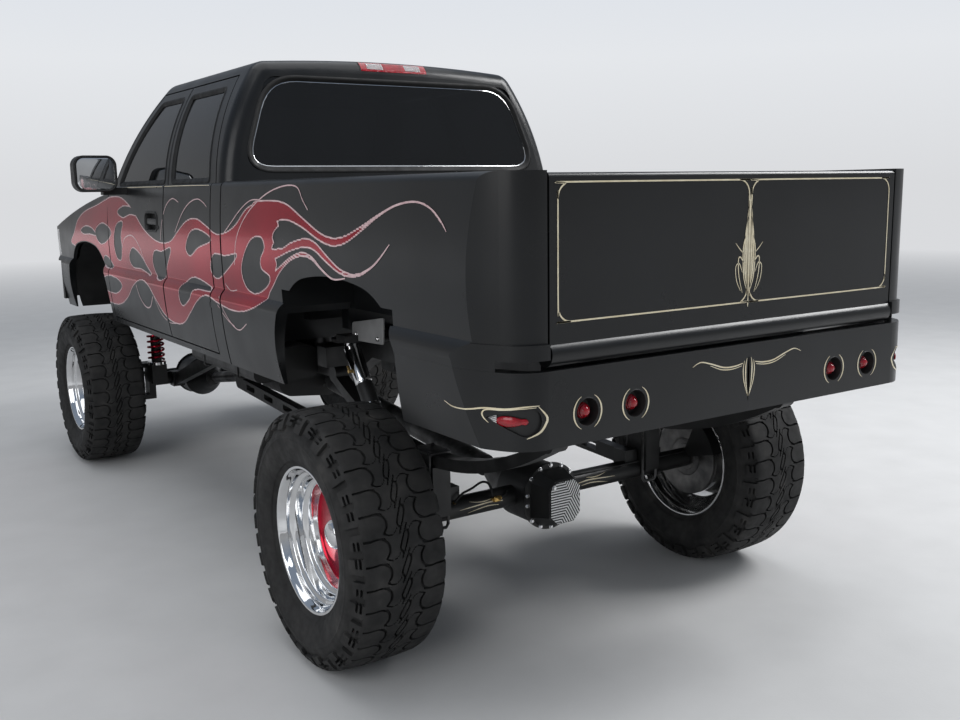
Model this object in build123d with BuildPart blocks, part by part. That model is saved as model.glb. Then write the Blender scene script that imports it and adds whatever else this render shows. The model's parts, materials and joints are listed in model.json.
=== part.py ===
from build123d import *
from math import acos, atan2, cos, degrees, hypot, radians, sin, sqrt, tan
import os

os.makedirs("parts", exist_ok=True)

# Lifted pickup truck, extended cab and short bed, in millimetres.
# +X is the truck's right side, +Y the front and +Z up. The origin is on the ground,
# at the centre of the box that holds the whole truck.

# Overall layout
wheelbase = 3645.0
front_overhang = 959.0
rear_overhang = 1075.0
rear_axle_y = (rear_overhang - front_overhang - wheelbase) / 2
front_axle_y = rear_axle_y + wheelbase
body_front = front_axle_y + front_overhang
body_rear = rear_axle_y - rear_overhang

# Wheels and tyres
tyre_radius = 485.0
tyre_tread_half = 158.0
tyre_bulge_half = 192.0
wheel_centre_x = 955.0
rim_lip_radius = 279.0
rim_half_width = 150.0
wheel_face_offset = 79.0
hub_radius = 62.0
hub_depth = 38.0
disc_radius = 178.0
disc_thickness = 26.0
disc_step = 4.0
spindle_radius = 34.0
bead_gap = 0.3
axle_z = tyre_radius
mount_face_x = wheel_centre_x - wheel_face_offset
hub_inner_x = mount_face_x - hub_depth

# Body heights
rocker_z = 975.0
shoulder_z = 1258.0
crease_z = 1318.0
belt_z = 1795.0
rail_z = 1801.0
roof_z = 2375.0
floor_z = 1055.0
floor_thickness = 35.0
bed_floor_z = 1298.0
bed_floor_thickness = 30.0
pan_bottom_z = 1007.0
pan_top_z = 1236.0

# Body widths, from the centre line
body_half_width = 985.0
rocker_tuck = 35.0
crease_tuck = 23.0
waist_tuck = 17.0
belt_tuck = 35.0
rocker_half_width = body_half_width - rocker_tuck
crease_half_width = body_half_width - crease_tuck
waist_half_width = body_half_width - waist_tuck
belt_half_width = body_half_width - belt_tuck
rail_edge_radius = 30.0
corner_radius = 130.0
corner_widening = 370.0
corner_turn = 60.0
bed_side_depth = 170.0
bed_inner_half = body_half_width - bed_side_depth
wheelhouse_half = 635.0

# Body stations along the truck
bed_length = 1100.0
cab_gap = 12.0
door_rear_setback = 132.0
rear_door_length = 706.0
door_front_setback = 590.0
screen_setback = 555.0
bed_front_y = rear_axle_y + bed_length
cab_rear_y = bed_front_y + cab_gap
door_rear_y = cab_rear_y + door_rear_setback
door_split_y = door_rear_y + rear_door_length
door_front_y = front_axle_y - door_front_setback
screen_base_y = front_axle_y - screen_setback

# Panels and gaps
panel_gap = 7.0
hinge_gap = 9.5
door_wall = 85.0
belt_lip = 18.0
roof_wall = 30.0
fender_wall = 22.0
split_gap_low = 12.0
split_gap_high = 20.0
hinge_pin_radius = 3.5
hinge_strap_half = 5.0
hinge_inset = 5.5
hinge_skin_depth = 7.0
hinge_z = 1240.0
hinge_strap_height = 24.0
hinge_pin_length = 72.0
running_gap = 0.3
seat_gap = 0.3

# Wheel arches
arch_half_length = 500.0
arch_top_z = 1447.0

# Frame
rail_x = 445.0
rail_width = 70.0
rail_height = 150.0
rail_low_z = 870.0
rail_high_z = 1020.0
rail_rear_y = body_rear + 75
rail_front_y = body_front - 40.3
kick_front_y = rear_axle_y + 900
kick_rear_y = rear_axle_y + 620
front_kick_y = front_axle_y - 390
front_kick_end_y = front_axle_y - 210


def cross_section(y):
    """Plane across the truck at y; extrusions from it run to the rear."""
    return Plane.XZ.offset(-y)


def skin_section(y, depth, top, top_half, edge_radius):
    """Solid with the body side's section, from y back by depth, rounded at its top edges."""
    with BuildPart() as solid:
        with BuildSketch(cross_section(y)) as section:
            with BuildLine():
                Line((0, rocker_z), (rocker_half_width, rocker_z))
                low = (rocker_half_width + body_half_width) / 2 + 6
                ThreePointArc((rocker_half_width, rocker_z),
                              (low, (rocker_z + shoulder_z) / 2), (body_half_width, shoulder_z))
                ThreePointArc((body_half_width, shoulder_z),
                              (body_half_width - 5, (shoulder_z + crease_z) / 2 + 7),
                              (crease_half_width, crease_z))
                ThreePointArc((crease_half_width, crease_z),
                              (waist_half_width, crease_z + 190), (top_half, top))
                Line((top_half, top), (0, top))
                Line((0, top), (0, rocker_z))
            make_face()
            corner = section.vertices().group_by(Axis.Y)[-1].sort_by(Axis.X)[-1]
            fillet(corner, edge_radius)
            mirror(about=Plane.YZ)
        extrude(amount=depth)
    return solid.part


def plan_outline(front_y, rear_y, half, rear_radius, front_radius, low, high):
    """Upright solid over the body's plan, with its corners rounded."""
    wide_radius = rear_radius + corner_widening
    inner = half - wide_radius + corner_widening * sin(radians(corner_turn))
    tight_centre = (inner, rear_y + rear_radius)
    wide_centre = (half - wide_radius,
                   rear_y + rear_radius + corner_widening * cos(radians(corner_turn)))

    def around(centre, radius, angle):
        return (centre[0] + radius * sin(radians(angle)),
                centre[1] - radius * cos(radians(angle)))

    with BuildPart() as solid:
        with BuildSketch(Plane.XY.offset(low)) as plan:
            with Locations((0, (front_y + rear_y) / 2)):
                Rectangle(2 * half, front_y - rear_y)
            if rear_radius:
                with BuildLine():
                    join = around(tight_centre, rear_radius, corner_turn)
                    ThreePointArc((inner, rear_y),
                                  around(tight_centre, rear_radius, corner_turn / 2), join)
                    ThreePointArc(join, around(wide_centre, wide_radius, 45 + corner_turn / 2),
                                  around(wide_centre, wide_radius, 90))
                    Line(around(wide_centre, wide_radius, 90), (half, rear_y))
                    Line((half, rear_y), (inner, rear_y))
                    mirror(about=Plane.YZ)
                make_face(mode=Mode.SUBTRACT)
            if front_radius:
                fillet(plan.vertices().group_by(Axis.Y)[-1], front_radius)
        extrude(amount=high - low)
    return solid.part


def arch_cutter(axle_y, inner_x, outer_x, grow=0.0):
    """Wheel arch opening on both sides, as the space between two planes of constant x."""
    half = arch_half_length + grow
    top = arch_top_z + grow
    with BuildPart() as solid:
        with BuildSketch(Plane.YZ.offset(inner_x)) as arch:
            with BuildLine():
                shoulder = rocker_z + 0.72 * (top - rocker_z)
                Line((axle_y - half, rocker_z - 200), (axle_y - half, rocker_z))
                ThreePointArc((axle_y - half, rocker_z), (axle_y - 0.87 * half, shoulder),
                              (axle_y - 0.5 * half, top - 22))
                ThreePointArc((axle_y - 0.5 * half, top - 22), (axle_y, top),
                              (axle_y + 0.5 * half, top - 22))
                ThreePointArc((axle_y + 0.5 * half, top - 22), (axle_y + 0.87 * half, shoulder),
                              (axle_y + half, rocker_z))
                Line((axle_y + half, rocker_z), (axle_y + half, rocker_z - 200))
                Line((axle_y + half, rocker_z - 200), (axle_y - half, rocker_z - 200))
            make_face()
        extrude(amount=outer_x - inner_x)
        mirror(about=Plane.YZ)
    return solid.part


# Greenhouse
glasshouse_base = 55.0
glasshouse_step = 18.0
glasshouse_lean = 232.0
glasshouse_half = belt_half_width - glasshouse_step
glasshouse_top_half = glasshouse_half - glasshouse_lean
glasshouse_mid_half = glasshouse_top_half + 0.724 * glasshouse_lean
glasshouse_mid_rise = 0.422 * (roof_z - belt_z)
roof_crown = 26.0
roof_side_radius = 95.0
screen_rake = 42.0
screen_bow = 150.0
rear_lean = 8.2
rear_bow = 18.0
rear_corner_radius = 75.0
screen_corner_radius = 45.0


def greenhouse(inset, rounded):
    """Cab above the belt: a crowned, tapered section cut by the raked screen and the rear."""
    base_z = belt_z - glasshouse_base
    with BuildPart() as solid:
        with BuildSketch(cross_section(screen_base_y + 300)) as section:
            with BuildLine():
                eave_z = roof_z - roof_crown - inset
                low, mid, top = (half - inset for half in
                                 (glasshouse_half, glasshouse_mid_half, glasshouse_top_half))
                mid_z = belt_z + glasshouse_mid_rise
                ThreePointArc((low, base_z), (mid, mid_z), (top, eave_z))
                ThreePointArc((top, eave_z), (0, roof_z - inset), (-top, eave_z))
                ThreePointArc((-top, eave_z), (-mid, mid_z), (-low, base_z))
                Line((-low, base_z), (low, base_z))
            make_face()
            fillet(section.vertices().group_by(Axis.Y)[-1], roof_side_radius - inset)
        extrude(amount=screen_base_y + 300 - cab_rear_y + 200)
        with BuildSketch(Plane.XY.offset(base_z)):
            with BuildLine():
                wide = body_half_width + 100
                middle = screen_base_y + screen_bow - inset / sin(radians(screen_rake))
                edge = middle - screen_bow * (wide / glasshouse_half) ** 2
                ThreePointArc((-wide, edge), (0, middle), (wide, edge))
                Line((wide, edge), (wide, middle + 2000))
                Line((wide, middle + 2000), (-wide, middle + 2000))
                Line((-wide, middle + 2000), (-wide, edge))
            make_face()
        rake = (0, -cos(radians(screen_rake)), sin(radians(screen_rake)))
        height = roof_z - base_z + 120
        extrude(amount=height / sin(radians(screen_rake)), dir=rake, mode=Mode.SUBTRACT)
        with BuildSketch(Plane.XY.offset(base_z)):
            with BuildLine():
                middle = cab_rear_y + inset / cos(radians(rear_lean))
                edge = middle + rear_bow * (wide / glasshouse_half) ** 2
                ThreePointArc((-wide, edge), (0, middle), (wide, edge))
                Line((wide, edge), (wide, middle - 600))
                Line((wide, middle - 600), (-wide, middle - 600))
                Line((-wide, middle - 600), (-wide, edge))
            make_face()
        lean = (0, sin(radians(rear_lean)), cos(radians(rear_lean)))
        extrude(amount=height / cos(radians(rear_lean)), dir=lean, mode=Mode.SUBTRACT)
        if rounded:
            rear_face = solid.faces().sort_by(Axis.Y)[0]
            fillet(rear_face.edges().filter_by(lambda e: e.center().Z > belt_z), rear_corner_radius)
            screen = solid.faces().sort_by(Axis.Y)[-1]
            fillet(screen.edges().filter_by(lambda e: e.center().Z > belt_z), screen_corner_radius)
    return solid.part


door_prism_inner_x = 500.0


def side_prism(points):
    """Prism through the right wall of the cab from a side-view outline, clear of the floor."""
    with BuildPart() as solid:
        with BuildSketch(Plane.YZ.offset(door_prism_inner_x)):
            with BuildLine():
                Polyline(*points, close=True)
            make_face()
        extrude(amount=body_half_width + 50 - door_prism_inner_x)
        with Locations((0, cab_rear_y, rocker_z - 10)):
            Box(2 * (body_half_width - door_wall), 2 * wheelbase,
                belt_z - belt_lip - rocker_z + 10,
                align=(Align.CENTER, Align.CENTER, Align.MIN), mode=Mode.SUBTRACT)
    return solid.part


# Door and window outlines in the side view
door_sill_z = 1012.0
door_top_drop = 87.0
door_top_z = roof_z - door_top_drop
pillar_face = 60.0
pillar_foot = 75.0
window_frame = 46.0
window_sill_z = belt_z + 8
split_lean = 55.0
rear_door_lean = 115.0


def pillar_y(z):
    """Y of the screen pillar's outer corner at height z."""
    rise = z - belt_z + glasshouse_base
    full_rise = roof_z - roof_crown - belt_z + glasshouse_base
    half = glasshouse_half - (glasshouse_half - glasshouse_top_half) * rise / full_rise
    bow = screen_bow * (1 - (half / glasshouse_half) ** 2)
    return screen_base_y + bow - rise / tan(radians(screen_rake))


def front_door_outline(grow):
    """Front door in the side view, from the split forward, grown by the panel gap."""
    low_gap = split_gap_low / 2 - grow
    high_gap = split_gap_high / 2 - grow
    return (
        (door_split_y + low_gap, door_sill_z - grow),
        (door_front_y + grow * hinge_gap / panel_gap, door_sill_z - grow),
        (door_front_y + grow * hinge_gap / panel_gap, belt_z - pillar_foot + grow),
        (pillar_y(belt_z + 24) - pillar_face + grow, belt_z + 24 + grow),
        (pillar_y(door_top_z) - pillar_face + grow, door_top_z + grow),
        (door_split_y + split_lean + high_gap, door_top_z + grow),
        (door_split_y + high_gap, belt_z),
        (door_split_y + low_gap, belt_z - 30),
    )


def rear_door_outline(grow):
    """Rear door in the side view, from the split back, grown by the panel gap."""
    low_gap = split_gap_low / 2 - grow
    high_gap = split_gap_high / 2 - grow
    return (
        (door_split_y - low_gap, door_sill_z - grow),
        (door_split_y - low_gap, belt_z - 30),
        (door_split_y - high_gap, belt_z),
        (door_split_y + split_lean - high_gap, door_top_z + grow),
        (door_rear_y + rear_door_lean - grow, door_top_z + grow),
        (door_rear_y - grow * hinge_gap / panel_gap, belt_z + 20),
        (door_rear_y - grow * hinge_gap / panel_gap, door_sill_z - grow),
    )


def front_window_outline(shrink):
    """Opening in the front door's frame, or the glass in it when shrunk."""
    return (
        (door_split_y + split_gap_high / 2 + window_frame + shrink, window_sill_z + shrink),
        (pillar_y(window_sill_z) - pillar_face - window_frame - 40 - shrink,
         window_sill_z + shrink),
        (pillar_y(door_top_z) - pillar_face - window_frame + 10 - shrink,
         door_top_z - window_frame - shrink),
        (door_split_y + split_lean + split_gap_high / 2 + window_frame + shrink,
         door_top_z - window_frame - shrink),
    )


def rear_window_outline(shrink):
    """Opening in the rear door's frame, or the glass in it when shrunk."""
    return (
        (door_rear_y + window_frame + 35 + shrink, window_sill_z + shrink),
        (door_split_y - split_gap_high / 2 - window_frame - shrink, window_sill_z + shrink),
        (door_split_y + split_lean - split_gap_high / 2 - window_frame - shrink,
         door_top_z - window_frame - shrink),
        (door_rear_y + rear_door_lean + window_frame + 35 + shrink,
         door_top_z - window_frame - shrink),
    )


glass_thickness = 6.0
glass_gap = 0.5
glass_inset = 9.0


def save(solid, label):
    """Name one finished piece and write it to its own file."""
    solid.label = label
    export_step(solid, f"parts/{label}.step")


def bowed_front(middle_y, half, low, high):
    """Upright solid behind the screen's bow, as wide as half on each side."""
    with BuildPart() as solid:
        with BuildSketch(Plane.XY.offset(low)):
            with BuildLine():
                edge = middle_y - screen_bow * (half / glasshouse_half) ** 2
                ThreePointArc((-half, edge), (0, middle_y), (half, edge))
                Line((half, edge), (half, cab_rear_y - 50))
                Line((half, cab_rear_y - 50), (-half, cab_rear_y - 50))
                Line((-half, cab_rear_y - 50), (-half, edge))
            make_face()
        extrude(amount=high - low)
    return solid.part


# Cab
cowl_y = screen_base_y + screen_bow
cab_depth = cowl_y - cab_rear_y
cowl_low_z = belt_z - 50.0
cab_block = skin_section(cowl_y, cab_depth, belt_z, belt_half_width, 18)
cab_bow = bowed_front(cowl_y, body_half_width + 50, rocker_z - 50, roof_z + 50)
cab_upper = greenhouse(0, True)
cab_upper_room = greenhouse(roof_wall, False)
cab_inner_half = body_half_width - door_wall
firewall_y = screen_base_y - roof_wall
with BuildPart() as cab_walls:
    add(cab_block)
    add(cab_bow, mode=Mode.INTERSECT)
    with Locations((0, door_front_y, cowl_low_z)):
        Box(2 * body_half_width + 100, cab_depth, belt_z,
            align=(Align.CENTER, Align.MIN, Align.MIN), mode=Mode.SUBTRACT)
    add(cab_upper)
    add(cab_upper_room, mode=Mode.SUBTRACT)
    with Locations((0, (cab_rear_y + firewall_y) / 2, floor_z + floor_thickness)):
        Box(2 * cab_inner_half, firewall_y - cab_rear_y - 2 * roof_wall,
            belt_z - belt_lip - floor_z - floor_thickness,
            align=(Align.CENTER, Align.CENTER, Align.MIN), mode=Mode.SUBTRACT)
    with Locations((0, (cab_rear_y + firewall_y) / 2, rocker_z)):
        Box(2 * (cab_inner_half - 60), 2 * cab_depth, floor_z - rocker_z,
            align=(Align.CENTER, Align.CENTER, Align.MIN), mode=Mode.SUBTRACT)

# Door hinges: a strap from the fixed body holds a pin that stands in the door's edge
hinge_x = body_half_width - hinge_skin_depth
front_hinge_y = door_front_y - hinge_inset
rear_hinge_y = door_rear_y + hinge_inset


def hinge_strap(pin_y, reach, grow):
    """Strap and pin on both sides, or the room they need in the door when grown."""
    forward = 1 if reach > 0 else -1
    half = hinge_strap_half + grow
    height = hinge_strap_height + 2 * grow
    with BuildPart() as solid:
        with Locations((hinge_x, pin_y, hinge_z)):
            Cylinder(half, height)
            Cylinder(hinge_pin_radius + grow, hinge_pin_length + 2 * grow)
            Box(2 * half, abs(reach), height,
                align=(Align.CENTER, Align.MIN if forward > 0 else Align.MAX, Align.CENTER))
            if grow:
                Box(100, abs(reach), height,
                    align=(Align.MIN, Align.MIN if forward > 0 else Align.MAX, Align.CENTER))
                Box(100, half, height,
                    align=(Align.MIN, Align.MAX if forward > 0 else Align.MIN, Align.CENTER))
        mirror(about=Plane.YZ)
    return solid.part


strap_reach = hinge_inset + hinge_gap + 30
front_straps = hinge_strap(front_hinge_y, strap_reach, 0)
rear_straps = hinge_strap(rear_hinge_y, -strap_reach, 0)
strap_rooms = {
    "front": hinge_strap(front_hinge_y, strap_reach, running_gap),
    "rear": hinge_strap(rear_hinge_y, -strap_reach, running_gap),
}

# Windscreen and rear window openings
screen_low_z = belt_z + 30
screen_high_z = roof_z - 112
screen_half_low = glasshouse_half - 132
screen_half_high = glasshouse_top_half - 60
rear_glass_low_z = belt_z + 52
rear_glass_high_z = roof_z - 97
rear_glass_half_low = glasshouse_half - 101
rear_glass_half_high = glasshouse_top_half - 21
rear_glass_radius = 70.0


def window_prism(y, depth, low_z, high_z, half_low, half_high, shrink):
    """Prism along the truck through a front or rear window opening."""
    with BuildPart() as solid:
        with BuildSketch(cross_section(y)) as outline:
            with BuildLine():
                Polyline((-half_low + shrink, low_z + shrink), (half_low - shrink, low_z + shrink),
                         (half_high - shrink, high_z - shrink),
                         (-half_high + shrink, high_z - shrink), close=True)
            make_face()
            fillet(outline.vertices(), rear_glass_radius)
        extrude(amount=depth)
    return solid.part


def rear_window_prism(shrink):
    return window_prism(cab_rear_y + 320, 400, rear_glass_low_z, rear_glass_high_z,
                        rear_glass_half_low, rear_glass_half_high, shrink)


def screen_prism(shrink):
    return window_prism(screen_base_y + 300, 0.5 * (screen_base_y - cab_rear_y) + 300,
                        screen_low_z, screen_high_z,
                        screen_half_low, screen_half_high, shrink)


glass_outer = greenhouse(glass_inset, False)
glass_inner = greenhouse(glass_inset + glass_thickness, False)
with BuildPart() as glass_layer:
    add(glass_outer)
    add(glass_inner, mode=Mode.SUBTRACT)

window_cutters = [rear_window_prism(0), screen_prism(0)]
door_cutters = []
for outline in (front_door_outline(panel_gap), rear_door_outline(panel_gap)):
    cutter = side_prism(outline)
    door_cutters += [cutter, mirror(cutter, about=Plane.YZ)]

# High brake lamp in the roof's rear edge
brake_lamp_half = 183.0
brake_lamp_low_angle = 18.0
brake_lamp_high_angle = 62.0
brake_lamp_depth = 22.0


def brake_lamp_ring(grow, proud):
    """Part of a ring along the roof's rounded rear edge, for the lamp or its pocket."""
    rise = roof_z - rear_corner_radius - belt_z + glasshouse_base
    centre_y = cab_rear_y + rise * tan(radians(rear_lean)) + rear_corner_radius
    centre_z = roof_z - rear_corner_radius
    inner = rear_corner_radius - brake_lamp_depth - grow
    outer = rear_corner_radius - 2 + proud
    ends = (brake_lamp_low_angle - 2 * grow, brake_lamp_high_angle + 2 * grow)
    middle = (brake_lamp_low_angle + brake_lamp_high_angle) / 2

    def on_ring(radius, angle):
        return (centre_y - radius * cos(radians(angle)), centre_z + radius * sin(radians(angle)))

    half = brake_lamp_half + grow
    with BuildPart() as solid:
        with BuildSketch(Plane.YZ.offset(-half)):
            with BuildLine():
                ThreePointArc(on_ring(outer, ends[0]), on_ring(outer, middle),
                              on_ring(outer, ends[1]))
                Line(on_ring(outer, ends[1]), on_ring(inner, ends[1]))
                ThreePointArc(on_ring(inner, ends[1]), on_ring(inner, middle),
                              on_ring(inner, ends[0]))
                Line(on_ring(inner, ends[0]), on_ring(outer, ends[0]))
            make_face()
        extrude(amount=2 * half)
    return solid.part


brake_lamp_pocket = brake_lamp_ring(seat_gap, 20)
brake_lamp = brake_lamp_ring(0, 0)

with BuildPart() as cab_shell:
    add(cab_walls)
    for cutter in door_cutters + window_cutters:
        add(cutter, mode=Mode.SUBTRACT)
    with Locations((body_half_width, door_front_y, rocker_z - 20),
                   (-body_half_width, door_front_y, rocker_z - 20)):
        Box(2 * door_wall + 10, 400, belt_z - rocker_z + 40,
            align=(Align.CENTER, Align.MIN, Align.MIN), mode=Mode.SUBTRACT)
    add(brake_lamp_pocket, mode=Mode.SUBTRACT)
    add(rear_straps)
save(cab_shell.part, "cab_shell")

panes = [rear_window_prism(glass_gap), screen_prism(glass_gap)]
with BuildPart() as cab_glass:
    add(glass_layer)
    add(panes, mode=Mode.INTERSECT)
save(cab_glass.part, "cab_glass")

# Doors and their glass
mirror_y = door_front_y - 400
mirror_z = belt_z + 70
mirror_reach = 1240.0
mirror_height = 200.0
mirror_depth = 120.0
mirror_width = 230.0
mirror_foot_x = body_half_width - 50
handle_y = door_split_y + 215
handle_z = belt_z - 190
handle_length = 210.0
handle_height = 88.0
handle_floor_x = waist_half_width - 34
handle_lever_length = 172.0
handle_lever_height = 34.0
handle_lever_x = waist_half_width - 20
handle_lever_depth = 11.0
handle_post = 26.0


def handle_block(x, reach, length, height, corner):
    """Rounded block of a door handle, standing from x outward by reach."""
    with BuildPart() as solid:
        with BuildSketch(Plane.YZ.offset(x)):
            with Locations((handle_y, handle_z)):
                RectangleRounded(length, height, corner)
        extrude(amount=reach)
    return solid.part


handle_pocket = handle_block(handle_floor_x, door_wall, handle_length, handle_height, 30)
handle_lever = handle_block(handle_lever_x, handle_lever_depth, handle_lever_length,
                            handle_lever_height, 12)
handle_posts = [
    handle_block(handle_floor_x - 1, handle_lever_x - handle_floor_x + 2, handle_post,
                 handle_lever_height - 6, 6).moved(Location((0, step, 0)))
    for step in (handle_post / 2 - handle_lever_length / 2 + 6,
                 handle_lever_length / 2 - handle_post / 2 - 6)]
door_rows = (
    ("front", front_door_outline, front_window_outline),
    ("rear", rear_door_outline, rear_window_outline),
)
for row, outline, window in door_rows:
    door_prism = side_prism(outline(0))
    window_hole = side_prism(window(0))
    pane_prism = side_prism(window(glass_gap))
    with BuildPart() as door_right:
        add(cab_walls)
        add(door_prism, mode=Mode.INTERSECT)
        add(window_hole, mode=Mode.SUBTRACT)
        add(strap_rooms[row], mode=Mode.SUBTRACT)
        if row == "front":
            add(handle_pocket, mode=Mode.SUBTRACT)
            add(handle_posts)
            add(handle_lever)
    with BuildPart() as pane_right:
        add(glass_layer)
        add(pane_prism, mode=Mode.INTERSECT)
    for side in ("right", "left"):
        with BuildPart() as door:
            add(door_right)
            if side == "left":
                mirror(about=Plane.YZ, mode=Mode.REPLACE)
        save(door.part, f"door_{row}_{side}")
        with BuildPart() as pane:
            add(pane_right)
            if side == "left":
                mirror(about=Plane.YZ, mode=Mode.REPLACE)
        save(pane.part, f"door_glass_{row}_{side}")

for side, tag in ((-1, "left"), (1, "right")):
    with BuildPart() as mirror_head:
        with BuildSketch(cross_section(mirror_y + mirror_depth / 2)) as shell:
            with Locations((side * (mirror_reach - mirror_width / 2), mirror_z)):
                RectangleRounded(mirror_width, mirror_height, 55)
        extrude(amount=mirror_depth)
        edges = mirror_head.faces().sort_by(Axis.Y)[-1].edges()
        fillet(edges, 40)
        with Locations((side * mirror_foot_x, mirror_y, mirror_z - mirror_height / 2 + 3)):
            Box(mirror_reach - mirror_width + 75 - mirror_foot_x, 60, 40,
                align=(Align.MIN if side > 0 else Align.MAX, Align.CENTER, Align.CENTER))
        add(cab_walls.part.moved(Location((side * seat_gap, 0, seat_gap))), mode=Mode.SUBTRACT)
    save(mirror_head.part, f"mirror_{tag}")

# Front fenders, hood and nose
nose_y = body_front - 62
hood_half = body_half_width - 210
hood_front_y = nose_y - 70
hood_back_z = belt_z + 12
hood_radius = 12000.0
hood_tilt = 5.3
hood_crown = 46.0
hood_thickness = 28.0
cowl_gap = 9.0
hood_pin_radius = 5.0
hood_pin_inset = 8.0
hood_pin_reach = 12.0
fender_front_radius = 120.0
fender_inner_half = body_half_width - 45
apron_x = 640.0
apron_wall = 15.0
header_y = body_front - 262.0
header_depth = 40.0
header_low_z = rail_high_z + rail_height + seat_gap
fascia_low_z = 1325.0
fascia_high_z = 1510.0
grille_half = 575.0
lamp_inner_x = 590.0
lamp_depth = 110.0
bumper_low_z = 1015.0
bumper_high_z = 1280.0
bumper_half = body_half_width - 10
bumper_wall = 40.0
bumper_return = 230.0
bumper_radius = 200.0


def nose_envelope(inset):
    """Space under the hood's skin: a crowned section swept along a long arc to the nose."""
    start_y = cowl_y - 250
    with BuildPart() as solid:
        with BuildSketch(cross_section(start_y)):
            with BuildLine():
                edge = hood_back_z - hood_crown - inset
                wide = body_half_width + 20
                ThreePointArc((-wide, edge), (0, hood_back_z - inset), (wide, edge))
                Line((wide, edge), (wide, rocker_z - 60))
                Line((wide, rocker_z - 60), (-wide, rocker_z - 60))
                Line((-wide, rocker_z - 60), (-wide, edge))
            make_face()
        axis_y = start_y - hood_radius * sin(radians(hood_tilt))
        axis_z = hood_back_z - hood_radius * cos(radians(hood_tilt))
        revolve(axis=Axis((0, axis_y, axis_z), (-1, 0, 0)), revolution_arc=9)
    return solid.part


nose_length = nose_y - door_front_y - hinge_gap
nose_block = skin_section(nose_y, nose_length, hood_back_z + 60, belt_half_width - 20, 20)
nose_plan = plan_outline(nose_y, door_front_y - 400, body_half_width + 5, 0,
                         fender_front_radius, rocker_z - 10, roof_z)
nose_skin = nose_envelope(0)
nose_room = nose_envelope(hood_thickness)
with BuildPart() as nose_solid:
    add(nose_block)
    add(nose_skin, mode=Mode.INTERSECT)
    add(nose_plan, mode=Mode.INTERSECT)


def hood_plan(grow):
    """Hood's outline from above, between the screen's bow and the nose."""
    with BuildPart() as solid:
        with BuildSketch(Plane.XY.offset(fascia_high_z - 60)):
            with BuildLine():
                half = hood_half + grow
                middle = cowl_y + cowl_gap - grow
                edge = middle - screen_bow * (half / glasshouse_half) ** 2
                front = hood_front_y + grow
                ThreePointArc((-half, edge), (0, middle), (half, edge))
                Line((half, edge), (half, front))
                Line((half, front), (-half, front))
                Line((-half, front), (-half, edge))
            make_face()
        extrude(amount=roof_z - fascia_high_z)
    return solid.part


def hood_skin_z(x, y):
    """Height of the hood's skin at a point of its plan."""
    start_y = cowl_y - 250
    edge_half = body_half_width + 20
    crown = hood_crown * (x / edge_half) ** 2
    along = y - start_y + hood_radius * sin(radians(hood_tilt))
    centre_z = hood_back_z - crown - hood_radius * cos(radians(hood_tilt))
    return centre_z + sqrt(hood_radius ** 2 - along ** 2)


hood_corner_y = cowl_y + cowl_gap - screen_bow * (hood_half / glasshouse_half) ** 2
hood_hinge_y = hood_corner_y + hood_pin_inset
hood_hinge_z = hood_skin_z(hood_half + panel_gap, hood_hinge_y) - hood_pin_inset
hood_region = hood_plan(0)
hood_opening = hood_plan(panel_gap)
with BuildPart() as hood:
    add(nose_solid)
    add(hood_region, mode=Mode.INTERSECT)
    add(nose_room, mode=Mode.SUBTRACT)
    with Locations((hood_half, hood_hinge_y, hood_hinge_z),
                   (-hood_half, hood_hinge_y, hood_hinge_z)):
        Cylinder(hood_pin_radius + running_gap, 2 * hood_pin_reach + 2, rotation=(0, 90, 0),
                 mode=Mode.SUBTRACT)
save(hood.part, "hood")

cowl_space = bowed_front(cowl_y + panel_gap, cab_inner_half + 2, rocker_z - 50, roof_z)
front_arch = arch_cutter(front_axle_y, apron_x + apron_wall, body_half_width + 50)
with BuildPart() as engine_bay:
    add(nose_solid)
    with Locations((0, door_front_y, rocker_z - 60)):
        Box(2 * fender_inner_half, nose_y - fender_wall - door_front_y, roof_z,
            align=(Align.CENTER, Align.MIN, Align.MIN), mode=Mode.INTERSECT)
    add(nose_room, mode=Mode.INTERSECT)

with BuildPart() as front_fenders:
    add(nose_solid)
    add(engine_bay, mode=Mode.SUBTRACT)
    add(hood_opening, mode=Mode.SUBTRACT)
    add(cowl_space, mode=Mode.SUBTRACT)
    add(front_arch, mode=Mode.SUBTRACT)
    with Locations((0, nose_y - lamp_depth, (fascia_low_z + fascia_high_z) / 2)):
        Box(2 * body_half_width + 40, 2 * lamp_depth, fascia_high_z - fascia_low_z + 2 * seat_gap,
            align=(Align.CENTER, Align.MIN, Align.CENTER), mode=Mode.SUBTRACT)
    with Locations((0, body_front - bumper_return - panel_gap, rocker_z - 20)):
        Box(2 * body_half_width + 40, 600, bumper_high_z + panel_gap - rocker_z + 20,
            align=(Align.CENTER, Align.MIN, Align.MIN), mode=Mode.SUBTRACT)
    with Locations((apron_x, cowl_y + panel_gap, rail_high_z + rail_height + 20),
                   (-apron_x, cowl_y + panel_gap, rail_high_z + rail_height + 20)):
        Box(apron_wall, header_y - panel_gap - cowl_y, 300,
            align=(Align.CENTER, Align.MIN, Align.MIN))
    with Locations((0, header_y, header_low_z)):
        Box(2 * fender_inner_half + 20, header_depth, fascia_high_z + 10 - header_low_z,
            align=(Align.CENTER, Align.MAX, Align.MIN))
    post_x = (grille_half + lamp_inner_x) / 2
    with Locations((post_x, header_y - 10, bumper_high_z + panel_gap),
                   (-post_x, header_y - 10, bumper_high_z + panel_gap)):
        Box(lamp_inner_x - grille_half - 2 * seat_gap, nose_y - 8 - header_y + 10,
            fascia_high_z + 20 - bumper_high_z - panel_gap,
            align=(Align.CENTER, Align.MIN, Align.MIN))
    with Locations((hood_half + panel_gap, hood_hinge_y, hood_hinge_z),
                   (-hood_half - panel_gap, hood_hinge_y, hood_hinge_z)):
        Cylinder(hood_pin_radius, 2 * (panel_gap + hood_pin_reach), rotation=(0, 90, 0))
    add(front_straps)
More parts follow.
